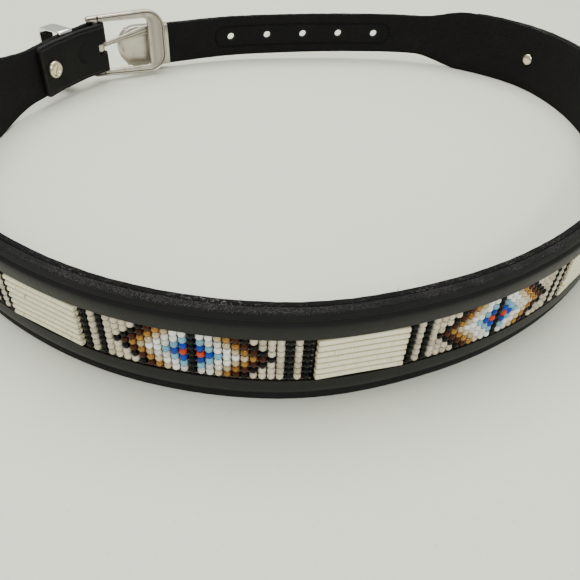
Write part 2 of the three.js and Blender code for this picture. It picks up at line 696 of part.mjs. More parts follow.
function keeper() {
  const innerHigh = BUCKLE_END_HEIGHT / 2 + KEEPER_GAP;
  const outerHigh = innerHigh + KEEPER_THICKNESS;
  const leg = KEEPER_INNER_LEG / 2;
  const shape = roundedBox(new THREE.Shape(), -leg, KEEPER_REACH, -outerHigh, outerHigh,
    KEEPER_LEG_CORNER, KEEPER_CORNER, false);
  shape.holes.push(roundedBox(new THREE.Path(), leg, KEEPER_REACH - KEEPER_THICKNESS,
    -innerHigh, innerHigh, KEEPER_LEG_CORNER, KEEPER_CORNER - KEEPER_THICKNESS, true));
  const geometry = new THREE.ExtrudeGeometry(shape, {
    depth: KEEPER_WIDTH,
    bevelEnabled: false,
    curveSegments: ARC_SEGMENTS,
  });
  geometry.translate(0, 0, -KEEPER_WIDTH / 2);
  const turn = new THREE.Matrix4().makeBasis(new THREE.Vector3(0, 1, 0),
    new THREE.Vector3(0, 0, 1), new THREE.Vector3(1, 0, 0));
  geometry.applyMatrix4(turn);
  return onBelt(geometry, KEEPER_RUN, middleHeight(KEEPER_RUN));
}

// Tip: a metal cap with a round end and a pocket for the strap
function tipShape(length, height) {
  const shape = new THREE.Shape();
  const radius = height / 2;
  shape.moveTo(0, -radius);
  shape.lineTo(length - radius, -radius);
  shape.absarc(length - radius, 0, radius, -Math.PI / 2, Math.PI / 2, false);
  shape.lineTo(0, radius);
  shape.closePath();
  return shape;
}

function billetTip() {
  const height = middleHeight(BELT_LENGTH);
  const thickness = BILLET_THICKNESS + 2 * (FIT_GAP + TIP_WALL);
  const cap = standing(tipShape(TIP_LENGTH, BILLET_HEIGHT), thickness, TIP_BEVEL);
  cap.translate(0, TIP_INNER, 0);
  const pocketDepth = TIP_LENGTH - TIP_NOSE + FIT_GAP;
  const pocket = new THREE.BoxGeometry(pocketDepth + CUTTER_REACH,
    BILLET_THICKNESS + 2 * FIT_GAP, POCKET_HEIGHT);
  pocket.translate((pocketDepth - CUTTER_REACH) / 2, SEAM_HALF + BILLET_THICKNESS / 2, 0);
  return onBelt(cutBy(cap, [pocket]), TIP_START, height);
}

addPiece('backing_strap', backingStrap(), SUEDE);
addPiece('face_leather', faceLeather(), LEATHER);
for (let i = 0; i <= MOTIF_COUNT; i += 1) {
  addPiece(`quill_panel_${i + 1}`, quillPanel(INLAY_START + i * PANEL_PITCH), QUILL);
}
BAND_STARTS.forEach((start, i) => {
  addPiece(`bead_band_${i + 1}`, beadBand(start), BEADWORK);
});
addPiece('flap_screw', flapScrew(), PALE_BRASS);
addPiece('end_rivet', endRivet(), PALE_BRASS);
addPiece('keeper', keeper(), BRIGHT_METAL);
addPiece('buckle_frame', buckleFrame(), CAST_METAL);
addPiece('buckle_tongue', buckleTongue(), CAST_METAL);
addPiece('billet_tip', billetTip(), CAST_METAL);

// The belt is centred over the origin and stands on Z = 0
const box = new THREE.Box3().setFromObject(group);
const centre = box.getCenter(new THREE.Vector3());
group.position.set(-centre.x, -centre.y, -box.min.z);

export default group;
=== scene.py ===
import math

import bpy
import numpy as np
from bpy.props import FloatProperty, FloatVectorProperty, IntProperty, PointerProperty
from mathutils import Matrix, Vector
from mathutils.kdtree import KDTree


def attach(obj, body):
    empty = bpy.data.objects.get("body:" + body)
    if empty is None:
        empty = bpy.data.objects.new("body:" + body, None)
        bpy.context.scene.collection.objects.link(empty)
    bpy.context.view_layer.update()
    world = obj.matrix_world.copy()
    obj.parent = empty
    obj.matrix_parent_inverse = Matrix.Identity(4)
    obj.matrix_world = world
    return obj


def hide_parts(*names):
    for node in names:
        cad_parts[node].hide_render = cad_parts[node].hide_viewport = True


bl_info = {
    "name": "Beaded belt",
    "version": (1, 0, 0),
    "blender": (4, 5, 0),
    "location": "3D View > Sidebar > Belt",
    "description": "Leather belt with loomed beadwork, quill panels and a cast buckle",
    "category": "Object",
}

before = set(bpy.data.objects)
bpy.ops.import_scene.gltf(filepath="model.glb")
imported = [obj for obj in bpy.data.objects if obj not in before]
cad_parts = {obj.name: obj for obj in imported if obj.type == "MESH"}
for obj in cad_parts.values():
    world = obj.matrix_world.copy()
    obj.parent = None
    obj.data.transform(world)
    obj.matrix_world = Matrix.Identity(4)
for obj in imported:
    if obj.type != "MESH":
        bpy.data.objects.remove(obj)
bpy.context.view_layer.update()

# Sizes are in millimetres, as in the part; meshes are made in metres
MM = 0.001
SEED = 7

# The belt's line
LOOP_WIDTH = 326.0
LOOP_DEPTH = 312.0
LINE_START = 12.0
LINE_SHIFT = (-0.22765, 1.48368)
TIP_LENGTH = 33.0
PLAN_TABLE = (
    (-0.4228, 0.2378), (-0.4482, 0.1866), (-0.4693, 0.1314), (-0.4887, 0.0721),
    (-0.4994, -0.0064), (-0.4847, -0.1506), (-0.4264, -0.2949), (-0.3199, -0.4071),
    (-0.1715, -0.4833), (-0.0077, -0.4978), (0.1383, -0.4484), (0.2580, -0.3660),
    (0.3620, -0.2468), (0.4479, -0.0994), (0.4939, 0.0673), (0.4939, 0.2532),
    (0.4417, 0.3878), (0.3479, 0.4631), (0.2270, 0.5000), (0.0798, 0.4920),
    (-0.0706, 0.4612), (-0.1815, 0.4265), (-0.2931, 0.3675),
)

# Strap
BODY_HEIGHT = 38.1
BODY_MIDDLE = BODY_HEIGHT / 2
BODY_BACKING = 2.3
BILLET_HEIGHT = 25.4
BILLET_THICKNESS = 3.0
BUCKLE_END_HEIGHT = 28.0
BUCKLE_END_THICKNESS = 2.8
FLAP_RUN = 48.5
BUCKLE_TAPER_START = 53.0
BUCKLE_TAPER = 40.0
BILLET_LENGTH = 209.0
BILLET_TAPER = 34.0
BUCKLE_RISE = 2.1
RISE_START = 10.0
RISE_END = 60.0
BILLET_DROOP = 3.3
TIP_STRAP_HEIGHT = 22.0  # height of the strap inside the metal tip
BAR_SPACE = 2.1          # inside of the fold, from the middle of the heel bar
KEEPER_SPACE = 0.9       # half of the fold's opening at the keeper
SHUT_SPACE = 0.15        # half of the gap where the fold is shut
KEEPER_SIDE_GAP = 1.5
FOLD_SHUT = 5.0
FACE_MARGIN = 4.0
HOLE_COUNT = 5
HOLE_PITCH = 25.4
HOLE_DIAMETER = 4.8
FIRST_HOLE = 77.0

# Face leather and beadwork
FACE_BACK = 2.75
FACE_EDGE = 5.7
FACE_CROWN = 0.95
FACE_TOP = FACE_EDGE + FACE_CROWN
FACE_LIP = 0.66
FACE_FLOOR = 0.8
INLAY_BACK = 3.85
BEAD_ROWS = 7
ROW_PITCH = 2.5
BEAD_COLUMNS = 27
COLUMN_PITCH = 2.6
BAND_LENGTH = BEAD_COLUMNS * COLUMN_PITCH
PANEL_GAP = 0.3
INLAY_START = 150.0
INLAY_TAIL = 65.4
MOTIF_COUNT = 5

# Fastenings, keeper and buckle
SCREW_RUN = 39.7
SCREW_DIAMETER = 9.6
SCREW_HEAD = 1.8
SCREW_POST = 2.5
SCREW_SEAT = 3.25       # from the middle of the fold to the seat of each head
SLOT_HALF_WIDTH = 0.75
SLOT_HALF_LENGTH = 2.6
SLOT_TURN = 38          # degrees
RIVET_TAIL = 42.5
RIVET_DIAMETER = 6.8
RIVET_HEAD = 1.3
RIVET_POST = 1.7
RIVET_INNER = -0.15
KEEPER_RUN = 23.0
KEEPER_WIDTH = 9.5
KEEPER_OUTER = 17.0     # inner face of the outer leg
KEEPER_INNER = 0.6      # inner face of the inner leg
KEEPER_HALF = 14.4
KEEPER_CORNER = 3.5
KEEPER_LEG_CORNER = 0.6
KEEPER_WALL = 1.5
KEEPER_INNER_WALL = 1.2
FRAME_INNER = 14.3
FRAME_OUTER = 19.2
FRAME_OPENING = 31.6
FRAME_LENGTH = 42.6
FRAME_CORNER = 12.0
FRAME_INNER_CORNER = 2.4
FRAME_HEEL_ARM = 3.6
HORN_CENTRE = FRAME_HEEL_ARM / 2 - 5.7
BAR_RADIUS = 1.8
RING_BORE = 2.1
RING_RADIUS = 3.4
TONGUE_REACH = 40.0
TONGUE_WIDTH = 5.0
TONGUE_SEAT = 2.0
TONGUE_FREE = 2.0
TONGUE_ROOT = 0.8
TONGUE_LEAN = 11.0      # degrees
TIP_INNER = -1.15
TIP_MIDDLE = 1.65       # middle of the tip's thickness, out from the belt's line
TIP_HALF = 2.8
TIP_NOSE_HALF = 2.35
TIP_CORNER = 0.85
POCKET_HALF = 1.8
POCKET_HIGH = 11.3      # half of the pocket's height


# The belt's line

def spline_point(table, share):
    last = len(table) - 1
    place = last * share
    i = min(int(place), last - 1)
    w = place - i
    p1, p2 = table[i], table[i + 1]
    p0 = table[i - 1] if i > 0 else 2 * table[0] - table[1]
    p3 = table[i + 2] if i + 2 <= last else 2 * table[last] - table[last - 1]
    d0, d1, d2 = (np.sum((a - b) ** 2) ** 0.25 for a, b in ((p0, p1), (p1, p2), (p2, p3)))
    t1 = ((p1 - p0) / d0 - (p2 - p0) / (d0 + d1) + (p2 - p1) / d1) * d1
    t2 = ((p2 - p1) / d1 - (p3 - p1) / (d1 + d2) + (p3 - p2) / d2) * d1
    square = -3 * p1 + 3 * p2 - 2 * t1 - t2
    cube = 2 * p1 - 2 * p2 + t1 + t2
    return p1 + t1 * w + square * w * w + cube * w ** 3


class BeltLine:
    """The belt's line in plan, by run from the heel bar, straight beyond both ends."""

    def __init__(self):
        table = np.array([(x * LOOP_WIDTH, y * LOOP_DEPTH) for x, y in PLAN_TABLE])
        points = np.array([spline_point(table, i / 6000) for i in range(6001)])
        steps = np.linalg.norm(np.diff(points, axis=0), axis=1)
        runs = np.r_[0, np.cumsum(steps)]
        self.length = LINE_START + runs[-1] + TIP_LENGTH
        tangents = np.gradient(points, runs, axis=0)
        tangents /= np.linalg.norm(tangents, axis=1)[:, None]
        points = points + np.array(LINE_SHIFT)
        before = points[0] - 60 * tangents[0]
        after = points[-1] + 100 * tangents[-1]
        self.runs = np.r_[-60, runs, runs[-1] + 100] + LINE_START
        self.points = np.vstack([before, points, after])
        self.tangents = np.vstack([tangents[:1], tangents, tangents[-1:]])

    def at(self, run):
        """Points, tangents and outward directions at the runs."""
        point = np.stack([np.interp(run, self.runs, self.points[:, i]) for i in (0, 1)], -1)
        tangent = np.stack([np.interp(run, self.runs, self.tangents[:, i]) for i in (0, 1)], -1)
        tangent = tangent / np.linalg.norm(tangent, axis=-1, keepdims=True)
        outward = np.stack([tangent[..., 1], -tangent[..., 0]], -1)
        return point, tangent, outward

    def place(self, run, out, height):
        """Points on the belt, from run, distance out and height above the floor."""
        run, out, height = np.broadcast_arrays(run, out, height)
        point, _, outward = self.at(run)
        flat = point + outward * np.asarray(out)[..., None]
        return np.concatenate([flat, np.asarray(height, float)[..., None]], -1)


LINE = BeltLine()
BELT_LENGTH = LINE.length
BODY_START = BUCKLE_TAPER_START + BUCKLE_TAPER
BILLET_START = BELT_LENGTH - BILLET_LENGTH
BODY_END = BILLET_START - BILLET_TAPER
FACE_START = BODY_START + FACE_MARGIN
FACE_END = BODY_END - FACE_MARGIN
TIP_START = BELT_LENGTH - TIP_LENGTH
QUILL_LENGTH = (FACE_END - INLAY_TAIL - INLAY_START
                - MOTIF_COUNT * (BAND_LENGTH + 2 * PANEL_GAP)) / (MOTIF_COUNT + 1)
PANEL_PITCH = QUILL_LENGTH + BAND_LENGTH + 2 * PANEL_GAP
RECESS_START = INLAY_START - PANEL_GAP
RECESS_END = INLAY_START + MOTIF_COUNT * PANEL_PITCH + QUILL_LENGTH + PANEL_GAP
BAND_STARTS = [INLAY_START + i * PANEL_PITCH + QUILL_LENGTH + PANEL_GAP
               for i in range(MOTIF_COUNT)]
BEAD_CENTRE = INLAY_BACK + 1.3
INLAY_HALF = BEAD_ROWS * ROW_PITCH / 2
RECESS_SHARE = (INLAY_HALF + 0.3) / BODY_MIDDLE
RIVET_RUN = FACE_END - RIVET_TAIL
BAR_HEIGHT = BODY_MIDDLE + BUCKLE_RISE


def ease(value):
    value = np.clip(value, 0, 1)
    return value * value * (3 - 2 * value)


def mix(a, b, share):
    return a + (b - a) * share


def middle_height(run):
    rise = 1 - ease((run - RISE_START) / (RISE_END - RISE_START))
    droop = np.clip((run - BILLET_START) / (TIP_START - BILLET_START), 0, 1)
    return BODY_MIDDLE + BUCKLE_RISE * rise - BILLET_DROOP * droop


def strap_height(run):
    widen = ease((run - BUCKLE_TAPER_START) / BUCKLE_TAPER)
    narrow = ease((run - BODY_END) / BILLET_TAPER)
    height = mix(mix(BUCKLE_END_HEIGHT, BODY_HEIGHT, widen), BILLET_HEIGHT, narrow)
    return np.where(run > TIP_START, TIP_STRAP_HEIGHT, height)


def strap_thickness(run):
    widen = ease((run - BUCKLE_TAPER_START) / BUCKLE_TAPER)
    narrow = ease((run - BODY_END) / BILLET_TAPER)
    return mix(mix(BUCKLE_END_THICKNESS, BODY_BACKING, widen), BILLET_THICKNESS, narrow)


def fold_space(run):
    start = KEEPER_RUN - KEEPER_WIDTH / 2 - KEEPER_SIDE_GAP
    end = KEEPER_RUN + KEEPER_WIDTH / 2 + KEEPER_SIDE_GAP
    if run < start:
        return mix(BAR_SPACE, KEEPER_SPACE, ease(run / start))
    return mix(KEEPER_SPACE, SHUT_SPACE, ease((run - end) / FOLD_SHUT))


def ripple(run, size, *waves):
    """A small unevenness along a cut edge."""
    return size * sum(np.sin(run / length + phase) for length, phase in waves) / len(waves)


# Meshes

def skin(rings, closed=False, caps=True):
    """Points and faces of a skin through rings of equal count."""
    count = len(rings[0])
    faces = []
    steps = len(rings) if closed else len(rings) - 1
    for i in range(steps):
        a = i * count
        b = (i + 1) % len(rings) * count
        for k in range(count):
            n = (k + 1) % count
            faces.append((a + k, a + n, b + n, b + k))
    if caps and not closed:
        last = (len(rings) - 1) * count
        faces.append(tuple(reversed(range(count))))
        faces.append(tuple(last + k for k in range(count)))
    return np.concatenate([np.asarray(ring, float) for ring in rings]), faces


def turned(profile, sides):
    """A closed turned shape round Z. The profile's ends lie on the axis."""
    angles = np.arange(sides) * 2 * math.pi / sides
    points = [(0.0, 0.0, profile[0][1])]
    for radius, height in profile[1:-1]:
        points += [(radius * math.cos(a), radius * math.sin(a), height) for a in angles]
    points.append((0.0, 0.0, profile[-1][1]))
    faces = []
    rings = len(profile) - 2
    end = len(points) - 1
    for k in range(sides):
        n = (k + 1) % sides
        faces.append((0, 1 + n, 1 + k))
        last = 1 + (rings - 1) * sides
        faces.append((end, last + k, last + n))
        for i in range(rings - 1):
            a = 1 + i * sides
            faces.append((a + k, a + n, a + sides + n, a + sides + k))
    return np.array(points), faces


def joined(parts):
    points, faces, count = [], [], 0
    for part_points, part_faces in parts:
        points.append(part_points)
        faces += [tuple(count + i for i in face) for face in part_faces]
        count += len(part_points)
    return np.concatenate(points), faces


def volume(points, faces):
    total = 0.0
    for face in faces:
        a = points[face[0]]
        for i in range(1, len(face) - 1):
            total += np.dot(a, np.cross(points[face[i]], points[face[i + 1]]))
    return total


def outwards(points, faces):
    if volume(points - points.mean(0), faces) < 0:
        faces = [tuple(reversed(face)) for face in faces]
    return points, faces


def make_piece(name, points, faces, material, attributes=None, sharp=38.0):
    """A finished mesh object at the origin, from points in millimetres."""
    mesh = bpy.data.meshes.new(name)
    mesh.from_pydata((np.asarray(points) * MM).tolist(), [], faces)
    for label, values in (attributes or {}).items():
        store(mesh, label, values)
    mesh.shade_smooth()
    mesh.set_sharp_from_angle(angle=math.radians(sharp))
    mesh.update()
    piece = bpy.data.objects.new(name, mesh)
    bpy.context.scene.collection.objects.link(piece)
    if material:
        mesh.materials.append(material)
    return piece


def store(mesh, label, values):
    values = np.asarray(values, np.float32)
    vector = values.ndim == 2
    layer = mesh.attributes.get(label)
    if layer:
        mesh.attributes.remove(layer)
    layer = mesh.attributes.new(label, "FLOAT_VECTOR" if vector else "FLOAT", "POINT")
    layer.data.foreach_set("vector" if vector else "value", values.ravel())


def fitted(piece, body, slot, *nodes):
    """Puts a finished piece on its body and hides the nodes that it stands for. The slot is not
    used.
    """
    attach(piece, body)
    if nodes:
        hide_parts(*nodes)
    return piece


def evaluated_mesh(piece):
    depsgraph = bpy.context.evaluated_depsgraph_get()
    return bpy.data.meshes.new_from_object(
        piece.evaluated_get(depsgraph), preserve_all_data_layers=True, depsgraph=depsgraph)


def cut(piece, points, faces):
    """Cuts closed shapes out of a piece."""
    points, faces = outwards(points, faces)
    cutter = make_piece(piece.name + "_cutter", points, faces, None)
    modifier = piece.modifiers.new("Cut", "BOOLEAN")
    modifier.operation = "DIFFERENCE"
    modifier.solver = "EXACT"
    modifier.object = cutter
    mesh = evaluated_mesh(piece)
    piece.modifiers.remove(modifier)
    bpy.data.objects.remove(cutter)
    if len(mesh.vertices) < 50:
        raise RuntimeError(piece.name + " was lost in a cut")
    piece.data = mesh
    mesh.set_sharp_from_angle(angle=math.radians(38))


def rounded_section(half_out, low, high, corner, middles=3):
    """A strap's section as out, height, from the lower left corner round."""
    arcs = [(half_out - corner, low + corner, -90), (half_out - corner, high - corner, 0),
            (corner - half_out, high - corner, 90), (corner - half_out, low + corner, 180)]
    section = []
    for index, (out, height, start) in enumerate(arcs):
        for turn in (0, 45, 90):
            angle = math.radians(start + turn)
            section.append((out + corner * math.cos(angle), height + corner * math.sin(angle)))
        if index in (0, 2):
            side = section[-1]
            end = high - corner if index == 0 else low + corner
            for k in range(1, middles + 1):
                section.append((side[0], side[1] + (end - side[1]) * k / (middles + 1)))
    return section


def frame_points(points, origin, along, outward):
    """Turns local points (along, out, up) into points on the belt."""
    points = np.asarray(points, float)
    flat = (np.asarray(origin[:2]) + points[:, :1] * np.asarray(along)
            + points[:, 1:2] * np.asarray(outward))
    return np.c_[flat, points[:, 2] + origin[2]]


def on_belt(points, run, height):
    point, tangent, outward = LINE.at(run)
    return frame_points(points, (*point, height), tangent, outward)


# Node graphs

class Signal:
    """A socket that can be used in a Python expression."""

    def __init__(self, graph, socket):
        self.graph = graph
        self.socket = socket

    def math(self, operation, *values):
        return self.graph.add("ShaderNodeMath", {"operation": operation},
                              dict(enumerate(values)))

    def __add__(self, other):
        return self.math("ADD", self, other)

    def __sub__(self, other):
        return self.math("SUBTRACT", self, other)

    def __rsub__(self, other):
        return self.math("SUBTRACT", other, self)

    def __mul__(self, other):
        return self.math("MULTIPLY", self, other)

    def __truediv__(self, other):
        return self.math("DIVIDE", self, other)

    def __pow__(self, other):
        return self.math("POWER", self, other)

    def __abs__(self):
        return self.math("ABSOLUTE", self)

    __radd__ = __add__
    __rmul__ = __mul__

    def most(self, other):
        return self.math("MAXIMUM", self, other)

    def least(self, other):
        return self.math("MINIMUM", self, other)


class Graph:
    """Adds nodes to a tree of either kind."""

    def __init__(self, tree):
        self.tree = tree

    def add(self, kind, settings=None, sockets=None, out=0):
        """Adds a node. Settings come first, then the values or links of its sockets."""
        node = self.tree.nodes.new(kind)
        for label, value in (settings or {}).items():
            if label == "stops":
                ramp = node.color_ramp
                while len(ramp.elements) < len(value):
                    ramp.elements.new(0.5)
                for element, (place, colour) in zip(ramp.elements, value):
                    element.position = place
                    element.color = colour
            elif label == "steps":
                node.color_ramp.interpolation = value
            else:
                setattr(node, label, value)
        for label, value in (sockets or {}).items():
            if isinstance(value, Signal):
                self.tree.links.new(value.socket, node.inputs[label])
            else:
                node.inputs[label].default_value = value
        if isinstance(out, tuple):
            return tuple(Signal(self, node.outputs[label]) for label in out)
        return Signal(self, node.outputs[out]) if len(node.outputs) else None

    def attribute(self, name, out="Fac"):
        return self.add("ShaderNodeAttribute", {"attribute_name": name}, None, out)

    def parts(self, vector):
        return self.add("ShaderNodeSeparateXYZ", None, {"Vector": vector}, ("X", "Y", "Z"))

    def position(self):
        return self.add("ShaderNodeTexCoord", None, None, "Object")

    def stretched(self, vector, scale):
        return self.add("ShaderNodeMapping", None, {"Vector": vector, "Scale": scale})

    def noise(self, vector, scale, detail=3.0, roughness=0.55, distortion=0.0):
        return self.add("ShaderNodeTexNoise", None, {
            "Vector": vector, "Scale": scale, "Detail": detail, "Roughness": roughness,
            "Distortion": distortion}, "Fac")

    def cells(self, vector, scale):
        return self.add("ShaderNodeTexVoronoi", {"feature": "F1"},
                        {"Vector": vector, "Scale": scale}, "Distance")

    def vector(self, x=0.0, y=0.0, z=0.0):
        return self.add("ShaderNodeCombineXYZ", None, {"X": x, "Y": y, "Z": z})

    def random(self, low, high, seed):
        return self.add("FunctionNodeRandomValue", {"data_type": "FLOAT_VECTOR"},
                        {"Min": low, "Max": high, "Seed": seed}, 0)

    def step(self, value, low, high, to_low=0.0, to_high=1.0):
        """Rises smoothly from to_low to to_high as the value goes from low to high."""
        return self.add("ShaderNodeMapRange", {"interpolation_type": "SMOOTHSTEP"}, {
            "Value": value, "From Min": low, "From Max": high,
            "To Min": to_low, "To Max": to_high}, "Result")

    def ridge(self, value, centre, width):
        """1 on a line where the value is centre, 0 past its width."""
        return 1 - self.step(abs(value - centre), width * 0.35, width)

    def colour(self, share, first, second):
        return self.add("ShaderNodeMix", {"data_type": "RGBA"}, {0: share, 6: first, 7: second}, 2)

    def tinted(self, share, first, second):
        return self.add("ShaderNodeMix", {"data_type": "RGBA", "blend_type": "MULTIPLY"},
                        {0: share, 6: first, 7: second}, 2)

    def bump(self, height, depth, normal=None, strength=1.0):
        sockets = {"Height": height, "Distance": depth, "Strength": strength}
        if normal:
            sockets["Normal"] = normal
        return self.add("ShaderNodeBump", None, sockets, "Normal")


def rgba(colour, alpha=1.0):
    return (colour[0], colour[1], colour[2], alpha)


def new_finish(name):
    material = bpy.data.materials.new(name)
    material.use_nodes = True
    material.node_tree.nodes.clear()
    return material, Graph(material.node_tree)


def set_finish(graph, sockets):
    """Ends a material in one shader with these values and links."""
    shader = graph.add("ShaderNodeBsdfPrincipled", None, sockets, "BSDF")
    graph.add("ShaderNodeOutputMaterial", None, {"Surface": shader})


# Finishes

def get_finish(name):
    material = bpy.data.materials.get(name)
    return material or FINISHES[name](bpy.context.scene.belt_colours)


def worn_patches(g, belt):
    return g.step(g.noise(belt, 38.0, 4.0, 0.62), 0.42, 0.66)


def cut_edge(g, fibres, patches, colours):
    """Colour of a cut edge, lighter where its fibres stand up in worn patches."""
    frayed = g.step(fibres, 0.50, 0.70) * (0.06 + 0.94 * patches)
    return g.colour(frayed, rgba([0.004, 0.004, 0.0038]), rgba(colours.suede))


def smooth_leather(colours):
    material, g = new_finish("smooth_leather")
    belt = g.attribute("belt", "Vector")
    edge = g.attribute("edge")
    grain = g.cells(belt, 1500.0)
    fine = g.noise(belt, 3800.0, 4.0)
    cloud = g.noise(belt, 70.0, 3.0)
    creased = g.noise(g.stretched(belt, (1.0, 0.35, 1.0)), 420.0, 4.0, 0.6, 0.6)
    seam = g.ridge(edge, 0.0034, 0.0008)
    raw = 1 - g.step(edge, 0.0002, 0.0008)
    wear = g.step(fine, 0.5, 0.75) * g.step(cloud, 0.45, 0.7)
    colour = g.colour(wear * 0.5, rgba(colours.leather), rgba(colours.leather_worn))
    # painted shade: the shoulder by each long edge, the flange and its groove, is darkened nearly
    # to black as the shade and dark reflection there
    shaded_shoulder = 1 - g.step(edge, 0.0042, 0.0056)
    colour = g.colour(shaded_shoulder * 0.8, colour, rgba([0.0012, 0.0011, 0.001]))
    colour = g.colour(seam * 0.5, colour, rgba([0.012, 0.011, 0.010]))
    fibres = g.noise(g.stretched(belt, (1.0, 1.0, 2.0)), 2600.0, 5.0, 0.7)
    run, _, _ = g.parts(belt)
    patches = worn_patches(g, belt).most(g.ridge(run, 0.315, 0.075) * 0.7)
    colour = g.colour(raw, colour, cut_edge(g, fibres, patches, colours))
    rough = 0.33 + cloud * 0.14 + fine * 0.08 + seam * 0.12
    rough = (rough + shaded_shoulder * 0.32 + raw * 0.2).least(0.95)
    low = g.bump(grain, 0.00005, None, 0.55)
    mid = g.bump(creased, 0.00022, low, 0.5)
    high = g.bump(fibres * raw, 0.0004, mid, 1.0)
    set_finish(g, {"Base Color": colour, "Roughness": rough, "Normal": high,
                   "Specular IOR Level": 0.27})
    return material


def rough_leather(colours):
    """The strap: rough flesh side, smooth grain on the flap, pressed lines and worn holes."""
    material, g = new_finish("rough_leather")
    belt = g.attribute("belt", "Vector")
    run, height, out = g.parts(belt)
    edge = g.attribute("edge")
    flap = 1 - g.step(out, -0.0002, 0.0)
    fibres = g.noise(g.stretched(belt, (0.7, 1.0, 1.0)), 1700.0, 6.0, 0.68, 0.4)
    nap = g.noise(belt, 5200.0, 3.0, 0.7)
    cloud = g.noise(belt, 55.0, 4.0, 0.6)
    grain = g.cells(belt, 1700.0)
    raw = 1 - g.step(edge, 0.0002, 0.0007)
    first = (BELT_LENGTH - FIRST_HOLE) * MM
    middle = first - (HOLE_COUNT - 1) / 2 * HOLE_PITCH * MM
    across = height
    along = (abs(run - middle) - 0.0555).most(0.0)
    ring = (along * along + across * across) ** 0.5
    track = g.ridge(ring, 0.0065, 0.0009)
    inside = 1 - g.step(ring, 0.0055, 0.0070)
    nearest = run - first + HOLE_PITCH * MM * (HOLE_COUNT + 2)
    phase = nearest.math("MODULO", nearest + HOLE_PITCH * MM / 2, HOLE_PITCH * MM)
    beside = phase - HOLE_PITCH * MM / 2
    hole = (beside * beside + across * across) ** 0.5
    worn = (1 - g.step(hole, 0.0026, 0.0046)) * inside
    cut_end = g.ridge(run, (FLAP_RUN - 1.7) * MM, 0.0006) * g.step(edge, 0.0012, 0.002)
    sides = g.ridge(edge, 0.0017, 0.0006) * (1 - g.step(run, (FLAP_RUN - 2.2) * MM,
                                                        (FLAP_RUN - 1.2) * MM))
    creases = cut_end.most(sides) * flap
    dent_run = run - 0.0135
    dent_high = height - 0.0012
    dent = (dent_run * dent_run + dent_high * dent_high) ** 0.5
    crescent = g.ridge(dent, 0.0050, 0.0016) * g.step(dent_run, 0.0, 0.0020) * flap
    light = g.step(fibres, 0.40, 0.72) * 0.6 + g.step(nap, 0.45, 0.8) * 0.25
    colour = g.colour(light, rgba([0.0035, 0.0033, 0.0031]), rgba(colours.suede_inside))
    colour = g.colour(g.step(cloud, 0.5, 0.75) * 0.4, colour, rgba([0.013, 0.012, 0.011]))
    smooth = g.colour(g.step(cloud, 0.4, 0.75) * 0.6, rgba([0.0032, 0.0031, 0.003]),
                      rgba([0.0065, 0.006, 0.0056]))
    colour = g.colour(flap, colour, smooth)
    colour = g.colour((track * 0.75).most(worn * 0.5), colour, rgba([0.0015, 0.0015, 0.0015]))
    colour = g.colour(creases * 0.45, colour, rgba([0.034, 0.031, 0.028]))
    colour = g.colour(crescent * 0.8, colour, rgba([0.0012, 0.0012, 0.0012]))
    colour = g.colour(raw, colour, cut_edge(g, fibres, worn_patches(g, belt), colours))
    rough = 0.86 - flap * 0.34 + cloud * 0.08 - worn * 0.25
    rough = rough + raw * 0.1
    pressed = 1 - track.most(creases).most(crescent)
    low = g.bump(fibres, 0.0005, None, 0.6)
    mid = g.bump(nap, 0.00012, low, 0.6)
    grained = g.bump(grain * flap, 0.00006, mid, 0.4)
    high = g.bump(pressed, 0.0007, grained, 1.0)
    set_finish(g, {"Base Color": colour, "Roughness": rough.least(0.97), "Normal": high,
                   "Specular IOR Level": 0.16})
    return material


BEAD_FINISHES = (
    # colour, metallic, roughness, from the motif's centre outwards
    ("bead_black", 0.0, 0.16), ("bead_red", 0.0, 0.16), ("bead_blue", 0.0, 0.16),
    ("bead_turquoise", 0.0, 0.2), ("bead_pearl", 0.0, 0.2), ("bead_pearl", 0.0, 0.2),
    ("bead_champagne", 0.35, 0.22), ("bead_amber", 0.55, 0.2), ("bead_brown", 0.0, 0.16),
    ("bead_black", 0.0, 0.16), ("bead_cream", 0.0, 0.24),
)


def bead_glass(colours):
    """Glass beads in a stepped diamond, from each bead's column and row."""
    material, g = new_finish("bead_glass")
    column = abs(g.attribute("column"))
    row = abs(g.attribute("row"))
    shade = g.attribute("shade")
    diamond = (column + row).least(10.0) * g.step(column, 0.4, 0.6)
    border = g.step(column, 9.4, 9.6)
    odd = column.math("MODULO", column, 2.0)
    striped = 10.0 - g.step(odd, 0.4, 0.6)
    index = diamond * (1 - border) + striped * border
    place = (index + 0.5) / 11.0
    stops = [(i / 11, rgba(getattr(colours, name)))
             for i, (name, _, _) in enumerate(BEAD_FINISHES)]
    levels = [(i / 11, (metal, rough, 0, 1))
              for i, (_, metal, rough) in enumerate(BEAD_FINISHES)]
    colour = g.add("ShaderNodeValToRGB", {"steps": "CONSTANT", "stops": stops},
                   {"Fac": place}, "Color")
    level = g.add("ShaderNodeValToRGB", {"steps": "CONSTANT", "stops": levels},
                  {"Fac": place}, "Color")
    metal, rough, _ = g.add("ShaderNodeSeparateColor", None, {"Color": level},
                            ("Red", "Green", "Blue"))
    swirl = g.noise(g.position(), 900.0, 3.0)
    colour = g.tinted(g.step(shade, 0.25, 1.0) * 0.65, colour, rgba([0.60, 0.56, 0.52]))
    colour = g.tinted(g.step(swirl, 0.45, 0.8) * 0.5, colour, rgba([0.66, 0.62, 0.56]))
    set_finish(g, {"Base Color": colour, "Metallic": metal, "Roughness": rough + shade * 0.1,
                   "Normal": g.bump(swirl, 0.00004, None, 0.4), "Specular IOR Level": 0.15})
    return material


